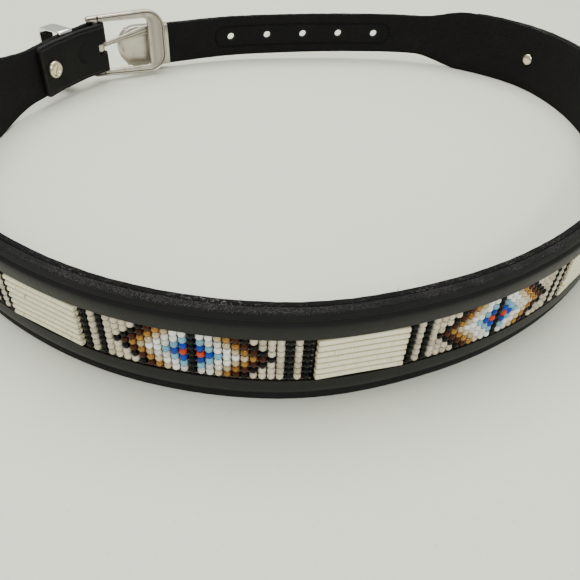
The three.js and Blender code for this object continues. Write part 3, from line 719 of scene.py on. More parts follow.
def quill_ivory(colours):
    material, g = new_finish("quill_ivory")
    place = g.position()
    along = g.attribute("along")
    tube = g.attribute("tube")
    cloud = g.noise(place, 130.0, 4.0, 0.6)
    streak = g.noise(g.vector(along * 14.0, tube * 3.7, tube * 9.1), 9.0, 4.0, 0.65)
    specks = g.cells(place, 420.0)
    ends = g.step(abs(along), 0.86, 1.0)
    mottle = g.noise(g.vector(along * 2.4, tube * 5.3, tube * 1.7), 1.6, 3.0, 0.7)
    stain = g.step(mottle, 0.60, 0.74) * 0.75 + ends * 0.2 + g.step(cloud, 0.6, 0.8) * 0.25
    side = g.attribute("side")
    colour = g.colour(g.step(streak, 0.35, 0.7), rgba(colours.quill), rgba(colours.quill_dark))
    colour = g.colour(stain.least(0.85), colour, rgba(colours.quill_stain))
    colour = g.colour((1 - g.step(specks, 0.05, 0.16)) * 0.5, colour, rgba([0.16, 0.09, 0.04]))
    # painted shade: each tube darkens towards its upper and lower sides, as the shading of its
    # round and the shade between neighbouring tubes
    colour = g.tinted(g.step(abs(side), 0.62, 0.96) * 0.85, colour, rgba([0.30, 0.22, 0.12]))
    rough = 0.30 + streak * 0.2
    fine = g.noise(g.stretched(place, (1.0, 1.0, 3.0)), 1500.0, 4.0)
    set_finish(g, {"Base Color": colour, "Roughness": rough, "Coat Weight": 0.25 - stain * 0.1,
                   "Normal": g.bump(fine, 0.00006, None, 0.5), "Subsurface Weight": 0.05,
                   "Subsurface Radius": (0.002, 0.001, 0.0006)})
    return material


def metal_finish(name, light, dark, rough, grain_depth, tarnish):
    """A metal with cast or brushed grain, dark tarnish in patches, painted shade where a piece
    marks it, and fine scratches.
    """
    material, g = new_finish(name)
    place = g.position()
    cloud = g.noise(place, 190.0, 5.0, 0.62, 0.4)
    grain = g.noise(place, 2400.0, 4.0, 0.6)
    pits = g.cells(place, 1300.0)
    scratch = g.noise(g.stretched(place, (1.0, 1.0, 9.0)), 700.0, 3.0, 0.7)
    spots = 1 - g.step(pits, 0.08, 0.26)
    # painted shade: each piece marks its recesses, grooves and slots, and the colour there is
    # darkened as the shade that falls in them
    hollow = g.attribute("hollow")
    tarnish_and_shade = (g.step(cloud, 0.48, 0.78) * tarnish + spots * tarnish * 0.5).most(hollow)
    colour = g.colour(tarnish_and_shade.least(1.0), rgba(light), rgba(dark))
    level = rough + grain * rough * 0.4 + g.step(cloud, 0.4, 0.8) * rough * 0.5
    level = level + g.step(scratch, 0.6, 0.75) * 0.06 + hollow * 0.2
    low = g.bump(grain, grain_depth, None, 0.6)
    high = g.bump(cloud, grain_depth * 3.0, low, 0.4)
    set_finish(g, {"Base Color": colour, "Metallic": 1.0 - tarnish_and_shade * 0.25,
                   "Roughness": level, "Normal": high})
    return material


def cast_nickel(colours):
    return metal_finish("cast_nickel", colours.cast, (0.10, 0.075, 0.05), 0.25, 0.0001, 0.62)


def polished_nickel(colours):
    return metal_finish("polished_nickel", colours.polished, (0.22, 0.19, 0.15), 0.09,
                        0.00001, 0.25)


def pale_brass(colours):
    return metal_finish("pale_brass", colours.brass, (0.20, 0.14, 0.07), 0.22, 0.00003, 0.35)


def cotton_thread(colours):
    material, g = new_finish("cotton_thread")
    place = g.position()
    twist = g.noise(place, 3000.0, 3.0, 0.7)
    colour = g.colour(g.step(twist, 0.35, 0.7), rgba([0.05, 0.042, 0.032]), rgba(colours.thread))
    set_finish(g, {"Base Color": colour, "Roughness": 0.85 + twist * 0.1,
                   "Normal": g.bump(twist, 0.0001, None, 0.7)})
    return material


def leather_fibre(colours):
    material, g = new_finish("leather_fibre")
    tone = g.noise(g.position(), 400.0, 2.0)
    colour = g.colour(g.step(tone, 0.35, 0.65), rgba([0.008, 0.0075, 0.007]),
                      rgba([0.060, 0.056, 0.052]))
    set_finish(g, {"Base Color": colour, "Roughness": 0.8 + tone * 0.15})
    return material


def studio_floor(colours):
    material, g = new_finish("studio_floor")
    place = g.position()
    specks = g.cells(place, 260.0)
    cloud = g.noise(place, 5.0, 3.0)
    fine = g.noise(place, 1600.0, 3.0)
    colour = g.colour(g.step(cloud, 0.35, 0.7) * 0.5, rgba(colours.floor),
                      rgba([c * 0.96 for c in colours.floor]))
    colour = g.tinted((1 - g.step(specks, 0.04, 0.09)) * 0.35, colour, rgba([0.5, 0.48, 0.42]))
    set_finish(g, {"Base Color": colour, "Roughness": 0.62 + fine * 0.1,
                   "Normal": g.bump(fine, 0.00005, None, 0.3), "Specular IOR Level": 0.3})
    return material


FINISHES = {maker.__name__: maker for maker in (
    smooth_leather, rough_leather, bead_glass, quill_ivory, cast_nickel, polished_nickel,
    pale_brass, cotton_thread, leather_fibre, studio_floor)}


# Settings

def colour_setting(name, description, default):
    return FloatVectorProperty(name=name, description=description, subtype="COLOR", size=3,
                               min=0.0, max=1.0, default=default)


class BeltColours(bpy.types.PropertyGroup):
    leather: colour_setting("Leather", "Smooth black leather", (0.0042, 0.0039, 0.0036))
    leather_worn: colour_setting("Worn leather", "Leather where it is rubbed",
                                 (0.013, 0.012, 0.010))
    suede: colour_setting("Raw edge", "Fibres of the cut edges", (0.150, 0.145, 0.136))
    suede_inside: colour_setting("Rough side", "Fibres of the strap's rough side",
                                 (0.017, 0.016, 0.015))
    bead_red: colour_setting("Red beads", "Centre of the diamond", (0.55, 0.050, 0.018))
    bead_blue: colour_setting("Blue beads", "Second ring", (0.013, 0.050, 0.36))
    bead_turquoise: colour_setting("Turquoise beads", "Third ring", (0.19, 0.43, 0.56))
    bead_pearl: colour_setting("Pearl beads", "Fourth and fifth ring", (0.82, 0.81, 0.77))
    bead_champagne: colour_setting("Champagne beads", "Sixth ring", (0.62, 0.50, 0.31))
    bead_amber: colour_setting("Amber beads", "Seventh ring", (0.38, 0.19, 0.045))
    bead_brown: colour_setting("Brown beads", "Eighth ring", (0.050, 0.013, 0.005))
    bead_black: colour_setting("Black beads", "Outline and middle column",
                               (0.0025, 0.0025, 0.003))
    bead_cream: colour_setting("Cream beads", "Ground", (0.64, 0.57, 0.43))
    quill: colour_setting("Quill", "Ivory tubes", (0.88, 0.85, 0.62))
    quill_dark: colour_setting("Dark quill", "Darker streaks along a tube",
                               (0.74, 0.67, 0.43))
    quill_stain: colour_setting("Quill stain", "Stains on the tubes", (0.38, 0.26, 0.13))
    cast: colour_setting("Cast metal", "Buckle, tongue and tip", (0.54, 0.50, 0.435))
    polished: colour_setting("Polished metal", "Keeper", (0.84, 0.82, 0.78))
    brass: colour_setting("Pale brass", "Screw and rivet", (0.76, 0.68, 0.50))
    thread: colour_setting("Thread", "Loom threads", (0.20, 0.17, 0.13))
    floor: colour_setting("Floor", "Studio floor", (0.67, 0.68, 0.585))


def size_setting(name, description, default, low, high):
    return FloatProperty(name=name, description=description, default=default * MM,
                         min=low * MM, max=high * MM, subtype="DISTANCE", unit="LENGTH",
                         precision=5)


class BeltSizes(bpy.types.PropertyGroup):
    station_step: size_setting("Station step", "Distance between sections along the belt",
                               2.5, 1.0, 10.0)
    bead_width: size_setting("Bead width", "Outer diameter of a seed bead", 2.6, 1.0, 4.0)
    bead_height: size_setting("Bead height", "Length of a seed bead along its hole",
                              2.3, 1.0, 4.0)
    bead_hole: size_setting("Bead hole", "Diameter of a seed bead's hole", 0.9, 0.3, 2.0)
    thread_width: size_setting("Thread width", "Diameter of the loom threads", 0.36, 0.1, 1.0)
    fibre_length: size_setting("Fibre length", "Longest loose fibre on a raw edge",
                               1.1, 0.2, 4.0)
    fibre_count: IntProperty(name="Fibre count", description="Loose fibres on the raw edges",
                             default=1500, min=0, max=8000)


# Strap and face leather

def strap_attributes(run, height, out):
    """Flattened place on the belt, and distance from the nearest long edge, in metres."""
    across = height - middle_height(run)
    edge = strap_height(run) / 2 - np.abs(across)
    return {"belt": np.c_[run, across, out] * MM, "edge": np.maximum(edge, 0) * MM}


def strap_runs(start, end, step):
    count = max(1, math.ceil((end - start) / step))
    return list(np.linspace(start, end, count + 1))


def flap_half(run, half):
    """The flap's half height, with rounded corners at its cut end."""
    radius = 3.0
    into = run - (FLAP_RUN - radius)
    if into <= 0:
        return half
    return half - radius + math.sqrt(max(radius ** 2 - into ** 2, 0))


def strap_shape(step):
    rings, marks = [], []

    def add_ply(run, side, half_share=1.0, corner=0.55):
        thickness = float(strap_thickness(run))
        half = float(strap_height(run)) / 2
        if side < 0:
            half = flap_half(run, half)
        middle = float(middle_height(run))
        top = ripple(run, 0.12, (3.1, 0.4), (1.27, 2.0), (0.61, 1.1))
        bottom = ripple(run, 0.05, (2.3, 1.4), (1.1, 0.3))
        section = rounded_section(thickness / 2 * half_share, middle - half + bottom + 0.05,
                                  middle + half + top, min(corner, thickness / 2 * half_share))
        origin = side * (fold_space(run) + thickness / 2)
        out = [origin + side * o for o, _ in section]
        height = [z for _, z in section]
        rings.append(LINE.place(run, out, height))
        marks.append((np.full(len(out), run), height, out))

    for run in (FLAP_RUN, *np.arange(FLAP_RUN - 0.12, FLAP_RUN - 3.2, -0.4),
                *strap_runs(0, FLAP_RUN - 3.4, 1.2)[::-1]):
        add_ply(run, -1, 0.72 if run == FLAP_RUN else 1.0)
    point, tangent, outward = LINE.at(0.0)
    thickness = BUCKLE_END_THICKNESS
    radius = BAR_SPACE + thickness / 2
    low, high = BAR_HEIGHT - BUCKLE_END_HEIGHT / 2, BAR_HEIGHT + BUCKLE_END_HEIGHT / 2
    for i in range(1, 18):
        angle = math.pi * i / 18
        radial = -math.cos(angle) * outward - math.sin(angle) * tangent
        ring, run, out, height = [], [], [], []
        for o, z in rounded_section(thickness / 2, low + 0.05, high, 0.55):
            flat = point + radial * (radius + o)
            ring.append((flat[0], flat[1], z))
            run.append(-math.sin(angle) * (radius + o))
            out.append(-math.cos(angle) * (radius + o))
            height.append(z)
        rings.append(np.array(ring))
        marks.append((run, height, out))
    runs = strap_runs(0, 60, 1.2) + strap_runs(60, TIP_START, step)[1:]
    for run in runs:
        add_ply(run, 1)
    add_ply(TIP_START + 0.01, 1)
    add_ply(BELT_LENGTH - 5, 1)
    points, faces = skin(rings)
    run, height, out = (np.concatenate([np.asarray(m[i], float) for m in marks])
                        for i in range(3))
    return outwards(points, faces) + (run, height, out)


def strap_cutters():
    parts = []
    for i in range(HOLE_COUNT):
        run = BELT_LENGTH - FIRST_HOLE - i * HOLE_PITCH
        angles = np.arange(36) * math.pi / 18
        rings = [np.c_[HOLE_DIAMETER / 2 * np.cos(angles), np.full(36, y),
                       HOLE_DIAMETER / 2 * np.sin(angles)] for y in (-4.0, 8.0)]
        points, faces = skin([on_belt(ring, run, float(middle_height(run))) for ring in rings])
        parts.append((points, faces))
    depth = RING_RADIUS + 0.8
    half = TONGUE_WIDTH / 2 + 0.8
    angles = np.radians(np.arange(-90, 91, 15))
    outline = [(-12.0, -half)] + [(depth - 1.6 + 1.6 * math.cos(a),
                                   (half - 1.6) * np.sign(a) + 1.6 * math.sin(a))
                                  for a in angles] + [(-12.0, half)]
    rings = [np.array([(x, y, z) for x, z in outline]) for y in (-9.0, 9.0)]
    parts.append(skin([on_belt(ring, 0.0, BAR_HEIGHT) for ring in rings]))
    return joined(parts)


def remark(piece, points, run, out):
    """Gives every point of a cut strap its place on the belt, from the nearest old point."""
    tree = KDTree(len(points))
    for index, point in enumerate(points):
        tree.insert(Vector(point), index)
    tree.balance()
    _, tangent, outward = LINE.at(run)
    new_run, new_out, new_height = [], [], []
    for vertex in piece.data.vertices:
        place = vertex.co / MM
        near, index, _ = tree.find(place)
        shift = np.array(place - near)[:2]
        new_run.append(run[index] + float(shift @ tangent[index]))
        new_out.append(out[index] + float(shift @ outward[index]))
        new_height.append(place.z)
    marks = strap_attributes(np.array(new_run), np.array(new_height), np.array(new_out))
    for label, values in marks.items():
        store(piece.data, label, values)


def face_section(lift):
    """The face leather's section as out, height from the middle, edge to edge."""
    share = RECESS_SHARE
    table = np.array([
        (share, mix(FACE_EDGE + FACE_LIP, FACE_TOP, lift)), (0.52, FACE_EDGE + 0.8 * FACE_CROWN),
        (0.62, FACE_TOP), (0.70, FACE_EDGE + 0.9 * FACE_CROWN), (0.77, FACE_EDGE + 0.5),
        (0.81, FACE_EDGE - 0.1), (0.825, FACE_EDGE - 0.34), (0.84, FACE_EDGE - 0.1),
        (0.87, FACE_EDGE + 0.02), (0.96, FACE_EDGE - 0.02), (0.99, FACE_EDGE - 0.3),
        (1.0, FACE_EDGE - 0.75),
    ])
    if lift:
        table = np.vstack([(0.0, FACE_TOP + 0.02), (0.25, FACE_TOP + 0.02), table])
        table[2] = (share, FACE_TOP)
    else:
        table = np.vstack([(share, FACE_EDGE + FACE_LIP - 0.12),
                           (share, FACE_EDGE + FACE_LIP), table[1:]])
    for _ in range(2):
        fine = [table[0]]
        for a, b in zip(table[:-1], table[1:]):
            fine += [mix(a, b, 0.25), mix(a, b, 0.75)]
        table = np.array(fine + [table[-1]])
    return table


def face_outline(lift):
    """Both halves of the face leather's section, with the same count at any lift."""
    share = RECESS_SHARE
    open_table = face_section(0)
    closed_table = np.array([(s, np.interp(s, *face_section(1).T)) for s, _ in open_table])
    upper = closed_table if lift else open_table
    floor = FACE_TOP + 0.02 if lift else FACE_BACK + FACE_FLOOR
    inner = [(share - 0.004, floor), (share * 0.5, floor)]
    half = inner[::-1] + list(upper)
    outer = [(-s, out) for s, out in reversed(half)] + [(0.0, floor)] + half
    back = [(s, FACE_BACK) for s in (1.0, 0.5, 0.0, -0.5, -1.0)]
    return [(out, s * BODY_MIDDLE) for s, out in outer + back]


def face_shape(step):
    fixed = [FACE_START, FACE_START + 0.8, FACE_START + 2.5, FACE_START + 6]
    runs = fixed + strap_runs(FACE_START + 6, RECESS_START - 0.8, step)[1:]
    runs += strap_runs(RECESS_START, RECESS_END, step)
    runs += strap_runs(RECESS_END + 0.8, FACE_END - 6, step)
    runs += [FACE_END - 2.5, FACE_END - 0.8, FACE_END]
    rings, marks = [], []
    for run in runs:
        lift = 0 if RECESS_START <= run <= RECESS_END else 1
        into = min(run - FACE_START, FACE_END - run)
        thin = mix(0.28, 1.0, float(ease(into / 6)))
        pull = 0.15 * (1 - float(ease(into / 1.2)))
        out, height = np.array(face_outline(lift)).T
        out = FACE_BACK + (out - FACE_BACK) * thin
        top = ripple(run, 0.13, (2.7, 0.9), (1.13, 0.1), (0.53, 2.2))
        rim = np.clip((np.abs(height) / BODY_MIDDLE - 0.97) / 0.03, 0, 1)
        height = height * (1 - pull / BODY_MIDDLE) + np.where(height > 0, top, 0) * rim
        height = np.maximum(height, -BODY_MIDDLE)
        rings.append(LINE.place(run, out, height + BODY_MIDDLE))
        marks.append((np.full(len(out), run), height, out))
    points, faces = skin(rings)
    run, height, out = (np.concatenate([m[i] for m in marks]) for i in range(3))
    attributes = {"belt": np.c_[run, height, out] * MM,
                  "edge": np.maximum(BODY_MIDDLE - np.abs(height), 0) * MM}
    return outwards(points, faces) + (attributes,)


class BELT_OT_strap(bpy.types.Operator):
    """Makes the folded strap with its holes, slot, flap and raw edges"""
    bl_idname = "belt.make_strap"
    bl_label = "Strap"

    def execute(self, context):
        step = context.scene.belt_sizes.station_step / MM
        points, faces, run, height, out = strap_shape(step)
        piece = make_piece("strap", points, faces, get_finish("rough_leather"),
                           strap_attributes(run, height, out))
        cut(piece, *strap_cutters())
        remark(piece, points, run, out)
        fitted(piece, "belt", "strap_leather", "backing_strap")
        return {"FINISHED"}


class BELT_OT_face(bpy.types.Operator):
    """Makes the crowned face leather with its recess for the beadwork"""
    bl_idname = "belt.make_face"
    bl_label = "Face leather"

    def execute(self, context):
        step = context.scene.belt_sizes.station_step / MM
        points, faces, attributes = face_shape(step)
        piece = make_piece("face", points, faces, get_finish("smooth_leather"), attributes)
        fitted(piece, "belt", "face_leather", "face_leather")
        return {"FINISHED"}


# Copies along the belt

def input_node(graph, tree, sockets):
    """Adds named inputs to a tree and returns their signals by name."""
    for name, kind in sockets.items():
        tree.interface.new_socket(name=name, in_out="INPUT", socket_type="NodeSocket" + kind)
    tree.interface.new_socket(name="Geometry", in_out="OUTPUT",
                              socket_type="NodeSocketGeometry")
    values = graph.add("NodeGroupInput", None, None, tuple(sockets))
    return dict(zip(sockets, values))


def end_tree(g, given, points, turn, size):
    """Puts the shape on the points, makes the copies real and gives them their material."""
    shape = g.add("GeometryNodeObjectInfo", None, {"Object": given["Shape"]}, "Geometry")
    copies = g.add("GeometryNodeInstanceOnPoints", None, {
        "Points": points, "Instance": shape, "Rotation": turn, "Scale": size})
    real = g.add("GeometryNodeRealizeInstances", None, {"Geometry": copies})
    done = g.add("GeometryNodeSetMaterial", None,
                 {"Geometry": real, "Material": given["Material"]})
    g.add("NodeGroupOutput", None, {"Geometry": done})
    return g.tree


def rows_tree():
    """Copies a shape onto points in rows across the belt, with small seeded variations."""
    tree = bpy.data.node_groups.new("Copies in rows", "GeometryNodeTree")
    g = Graph(tree)
    given = input_node(g, tree, {
        "Geometry": "Geometry", "Shape": "Object", "Rows": "Int", "Row pitch": "Float",
        "Tilt": "Float", "Shift": "Float", "Size change": "Float", "Seed": "Int",
        "Material": "Material"})
    copies, number = g.add("GeometryNodeDuplicateElements", {"domain": "POINT"},
                           {"Geometry": given["Geometry"], "Amount": given["Rows"]},
                           ("Geometry", "Duplicate Index"))
    row = number - (given["Rows"] - 1) / 2
    low, high = (-1.0, -1.0, -1.0), (1.0, 1.0, 1.0)
    vary_size = g.random(low, high, given["Seed"] + 11)
    a, b, c = g.parts(g.random(low, high, given["Seed"]))
    d, e, f = g.parts(vary_size)
    lift = g.vector(z=row * given["Row pitch"])
    shake = g.add("ShaderNodeVectorMath", {"operation": "SCALE"},
                  {0: vary_size, "Scale": given["Shift"]})
    offset = g.add("ShaderNodeVectorMath", {"operation": "ADD"}, {0: lift, 1: shake})
    placed = g.add("GeometryNodeSetPosition", None, {"Geometry": copies, "Offset": offset})
    for name, value in (("row", row), ("shade", (f + 1) / 2)):
        placed = g.add("GeometryNodeStoreNamedAttribute",
                       {"data_type": "FLOAT", "domain": "POINT"},
                       {"Geometry": placed, "Name": name, "Value": value})
    heading = g.add("GeometryNodeInputNamedAttribute", {"data_type": "FLOAT"},
                    {"Name": "heading"}, "Attribute")
    turn = g.vector(a * given["Tilt"], b * given["Tilt"], heading + c * given["Tilt"])
    wide = 1 + d * given["Size change"]
    size = g.vector(wide, wide, 1 + e * given["Size change"])
    return end_tree(g, given, placed, turn, size)


def fibre_tree():
    """Stands fibres on points, each with its own lean and length."""
    tree = bpy.data.node_groups.new("Loose fibres", "GeometryNodeTree")
    g = Graph(tree)
    given = input_node(g, tree, {
        "Geometry": "Geometry", "Shape": "Object", "Length": "Float", "Lean": "Float",
        "Seed": "Int", "Material": "Material"})
    x, y, z = g.parts(g.random((-1.0, -1.0, 0.0), (1.0, 1.0, 6.28), given["Seed"]))
    share, _, _ = g.parts(g.random((0.2, 0.0, 0.0), (1.0, 1.0, 1.0), given["Seed"] + 5))
    turn = g.vector(x * given["Lean"], y * given["Lean"], z)
    long = share * share * given["Length"]
    return end_tree(g, given, given["Geometry"], turn, g.vector(long, long, long))


def get_tree(maker):
    if maker.__name__ not in TREES:
        TREES[maker.__name__] = maker()
    return TREES[maker.__name__]


TREES = {}


def grown(name, points, attributes, tree, inputs):
    """Makes a piece from a node tree on loose points, as one plain mesh."""
    piece = make_piece(name, points, [], None, attributes)
    modifier = piece.modifiers.new("Copies", "NODES")
    modifier.node_group = tree
    names = {item.name: item.identifier for item in tree.interface.items_tree
             if item.item_type == "SOCKET" and item.in_out == "INPUT"}
    for label, value in inputs.items():
        modifier[names[label]] = value
    mesh = evaluated_mesh(piece)
    piece.modifiers.remove(modifier)
    if not mesh.polygons:
        raise RuntimeError(name + " came out empty")
    mesh.name = name
    piece.data = mesh
    return piece


def closed_ring(radius, tube, sides, around, start=0.0, sweep=2 * math.pi):
    """Part of a torus in the Y-Z plane."""
    rings = []
    for i in range(around):
        angle = start + sweep * i / (around - 1)
        centre = np.array([0.0, math.cos(angle) * radius, math.sin(angle) * radius])
        radial = np.array([0.0, math.cos(angle), math.sin(angle)])
        rings.append([centre + tube * (math.cos(t) * radial + math.sin(t) * np.array([1.0, 0, 0]))
                      for t in np.arange(sides) * 2 * math.pi / sides])
    return outwards(*skin(rings))


def seed_bead(width, height, hole):
    """A seed bead with its hole upright."""
    outer, inner, half = width / 2, hole / 2, height / 2
    profile = [(inner, -half * 0.82), (outer * 0.60, -half), (outer * 0.88, -half * 0.62),
               (outer, 0.0), (outer * 0.88, half * 0.62), (outer * 0.60, half),
               (inner, half * 0.82)]
    sides = 11
    rings = []
    for i in range(sides):
        angle = 2 * math.pi * i / sides
        rings.append([(r * math.cos(angle), r * math.sin(angle), z) for r, z in profile])
    return outwards(*skin(rings, closed=True))


class BELT_OT_beads(bpy.types.Operator):
    """Makes the loomed bands of seed beads, one bead at a time"""
    bl_idname = "belt.make_beads"
    bl_label = "Bead bands"

    def execute(self, context):
        sizes = context.scene.belt_sizes
        points, faces = seed_bead(sizes.bead_width / MM, sizes.bead_height / MM,
                                  sizes.bead_hole / MM)
        shape = make_piece("bead_shape", points, faces, None, None, 75)
        for band in range(MOTIF_COUNT):
            start = BAND_STARTS[band]
            columns = np.arange(BEAD_COLUMNS) - (BEAD_COLUMNS - 1) / 2
            runs = start + (np.arange(BEAD_COLUMNS) + 0.5) * COLUMN_PITCH
            _, tangent, _ = LINE.at(runs)
            piece = grown(f"bead_band_{band + 1}_beads",
                          LINE.place(runs, BEAD_CENTRE, BODY_MIDDLE),
                          {"column": columns, "heading": np.arctan2(tangent[:, 1], tangent[:, 0])},
                          get_tree(rows_tree), {
                              "Shape": shape, "Rows": BEAD_ROWS, "Row pitch": ROW_PITCH * MM,
                              "Tilt": 0.06, "Shift": 0.00005, "Size change": 0.03,
                              "Seed": SEED + band, "Material": get_finish("bead_glass")})
            fitted(piece, "belt", "beads", f"bead_band_{band + 1}")
        bpy.data.objects.remove(shape)
        return {"FINISHED"}


class BELT_OT_threads(bpy.types.Operator):
    """Makes the loom's long threads and the loops at the bands' edges"""
    bl_idname = "belt.make_threads"
    bl_label = "Loom threads"

    def execute(self, context):
        radius = context.scene.belt_sizes.thread_width / MM / 2
        parts = []
        for band in range(MOTIF_COUNT):
            start = BAND_STARTS[band]
            runs = np.linspace(start - 0.3, start + BAND_LENGTH + 0.3, 56)
            for line in range(BEAD_ROWS + 1):
                z = BODY_MIDDLE + (line - BEAD_ROWS / 2) * ROW_PITCH
                outer = line in (0, BEAD_ROWS)
                z = z + (0.12 if line else -0.12) * outer
                out = BEAD_CENTRE + (0.25 if outer else -0.1)
                rings = []
                for run in runs:
                    wave = 0.06 * math.sin(run * 2 * math.pi / COLUMN_PITCH)
                    rings.append(LINE.place(run, [out + wave + radius * math.cos(a)
                                                  for a in np.arange(6) * math.pi / 3],
                                            [z + radius * math.sin(a)
                                             for a in np.arange(6) * math.pi / 3]))
                parts.append(outwards(*skin(rings)))
        piece = make_piece("loom_warps", *joined(parts), get_finish("cotton_thread"), None, 60)
        fitted(piece, "belt", "beads")
        loop = make_piece("loop_shape", *closed_ring(0.42, radius, 5, 6, -0.3, math.pi + 0.6),
                          None, None, 75)
        runs = np.concatenate([start + (np.arange(BEAD_COLUMNS) + 0.5) * COLUMN_PITCH
                               for start in BAND_STARTS])
        _, tangent, _ = LINE.at(runs)
        heading = np.arctan2(tangent[:, 1], tangent[:, 0])
        for name, z in (("upper", BODY_MIDDLE + INLAY_HALF - 0.28),
                        ("lower", BODY_MIDDLE - INLAY_HALF - 0.12)):
            piece = grown(f"loom_loops_{name}", LINE.place(runs, BEAD_CENTRE + 0.1, z),
                          {"heading": heading}, get_tree(rows_tree), {
                              "Shape": loop, "Rows": 1, "Row pitch": 0.0, "Tilt": 0.12,
                              "Shift": 0.00008, "Size change": 0.12, "Seed": SEED + 40,
                              "Material": get_finish("cotton_thread")})
            fitted(piece, "belt", "beads")
        bpy.data.objects.remove(loop)
        return {"FINISHED"}


class BELT_OT_quills(bpy.types.Operator):
    """Makes the panels of straight quill tubes"""
    bl_idname = "belt.make_quills"
    bl_label = "Quill panels"

    def execute(self, context):
        rng = np.random.default_rng(SEED)
        radius = ROW_PITCH / 2
        for panel in range(MOTIF_COUNT + 1):
            parts, along, tube, side = [], [], [], []
            middle = INLAY_START + panel * PANEL_PITCH + QUILL_LENGTH / 2
            for row in range(BEAD_ROWS):
                half = QUILL_LENGTH / 2 - rng.uniform(0.0, 0.25)
                shift = rng.uniform(-0.08, 0.08)
                phase = rng.uniform(0, 6)
                profile = [(-half + 0.9, 0.42), (-half, 0.45), (-half, 0.74), (-half + 0.12, 0.93),
                           (-half + 0.45, 1.0)]
                inside = np.linspace(-half + 2.5, half - 2.5, 9)
                body = [(x, 1.0 + 0.008 * math.sin(x / 9 + phase)) for x in inside]
                profile += body + [(-x, r) for x, r in profile[::-1]]
                angles = np.arange(18) * math.pi / 9
                z = (row - (BEAD_ROWS - 1) / 2) * ROW_PITCH
                rings = [np.c_[np.full(18, x + shift),
                               INLAY_BACK + radius + 0.05 + radius * r * np.cos(angles),
                               z + radius * r * 0.94 * np.sin(angles)] for x, r in profile]
                points, faces = outwards(*skin(rings))
                along.append(points[:, 0] / (QUILL_LENGTH / 2))
                tube.append(np.full(len(points), row + panel * 7.0))
                side.append((points[:, 2] - z) / radius)
                parts.append((points, faces))
            points, faces = joined(parts)
            points = on_belt(points, middle, BODY_MIDDLE)
            piece = make_piece(f"quill_panel_{panel + 1}_tubes", *outwards(points, faces),
                               get_finish("quill_ivory"),
                               {"along": np.concatenate(along), "tube": np.concatenate(tube),
                                "side": np.concatenate(side)}, 50)
            fitted(piece, "belt", "quill", f"quill_panel_{panel + 1}")
        return {"FINISHED"}


class BELT_OT_fibres(bpy.types.Operator):
    """Makes loose fibres and burrs on the raw upper edges"""
    bl_idname = "belt.make_fibres"
    bl_label = "Loose fibres"

    def execute(self, context):
        sizes = context.scene.belt_sizes
        rings = []
        for height, bend, thick in ((-0.1, 0.0, 0.045), (0.3, 0.03, 0.04), (0.65, 0.14, 0.03),
                                    (1.0, 0.34, 0.012)):
            rings.append([(bend + thick * math.cos(a), thick * math.sin(a), height)
                          for a in (0.0, 2.1, 4.2)])
        points, faces = outwards(*skin(rings))
        shape = make_piece("fibre_shape", points * 1000, faces, None)
        rng = np.random.default_rng(SEED)
        count = sizes.fibre_count
        runs = rng.uniform(BODY_START, BODY_END, count)
        faced = (runs > FACE_START + 3) & (runs < FACE_END - 3)
        out = np.where(faced, rng.uniform(0.3, FACE_EDGE - 0.4, count),
                       rng.uniform(0.3, 2.2, count))
        top = BODY_MIDDLE + strap_height(runs) / 2
        burrs = rng.uniform(size=count) < 0.06
        for name, chosen, length, lean in (("fine", ~burrs, 1.0, 1.25), ("long", burrs, 2.1, 1.0)):
            points = LINE.place(runs[chosen], out[chosen], top[chosen] - 0.05)
            piece = grown(f"loose_fibres_{name}", points, None, get_tree(fibre_tree), {
                "Shape": shape, "Length": sizes.fibre_length * length, "Lean": lean,
                "Seed": SEED, "Material": get_finish("leather_fibre")})
            fitted(piece, "belt", "strap_leather")
        bpy.data.objects.remove(shape)
        return {"FINISHED"}


# Metal pieces

def buckle_place():
    """Where the buckle's own axes lie: origin, direction to the bow, direction outwards."""
    bar = LINE.at(0.0)[0]
    end, tangent, outward = LINE.at(BELT_LENGTH)
    bow_inside = TONGUE_SEAT + 2.0 + TONGUE_FREE - TIP_INNER
    swing = math.asin((float((end - bar) @ outward) - bow_inside) / FRAME_LENGTH)
    heading = math.atan2(-tangent[1], -tangent[0]) + swing
    along = (math.cos(heading), math.sin(heading))
    return (bar[0], bar[1], BAR_HEIGHT), along, (-along[1], along[0])


def on_buckle(points):
    return frame_points(points, *buckle_place())


def frame_stations():
    """Inner and outer points of the buckle frame, from the lower horn round to the upper."""
    pairs = []
    half = FRAME_HEEL_ARM / 2
    centre = FRAME_INNER + half
    for turn in (88, 75, 60, 45, 30, 15, 0):
        a = math.radians(turn)
        x = HORN_CENTRE - half * math.sin(a)
        pairs.append(((x, centre - half * math.cos(a)), (x, centre + half * math.cos(a))))
    arm_end = FRAME_LENGTH - FRAME_CORNER
    for share in (0.06, 0.11, 0.135, 0.145, 0.165, 0.175, 0.20, 0.3, 0.4, 0.5, 0.6, 0.7, 0.8,
                  0.9, 1.0):
        outer_x = mix(HORN_CENTRE, arm_end, share)
        inner_x = mix(HORN_CENTRE, FRAME_OPENING - FRAME_INNER_CORNER, share)
        outer_z = mix(FRAME_INNER + FRAME_HEEL_ARM, FRAME_OUTER, share)
        pairs.append(((inner_x, FRAME_INNER), (outer_x, outer_z)))
    for turn in range(80, -1, -8):
        a = math.radians(turn)
        r, R = FRAME_INNER_CORNER, FRAME_CORNER
        pairs.append(((FRAME_OPENING - r + r * math.cos(a), FRAME_INNER - r + r * math.sin(a)),
                      (FRAME_LENGTH - R + R * math.cos(a), FRAME_OUTER - R + R * math.sin(a))))
    for share in (0.75, 0.5, 0.25):
        pairs.append(((FRAME_OPENING, (FRAME_INNER - FRAME_INNER_CORNER) * share),
                      (FRAME_LENGTH, (FRAME_OUTER - FRAME_CORNER) * share)))
    middle = [((FRAME_OPENING, 0.0), (FRAME_LENGTH, 0.0))]
    lower = [((ix, -iz), (ox, -oz)) for (ix, iz), (ox, oz) in pairs]
    return lower + middle + pairs[::-1]


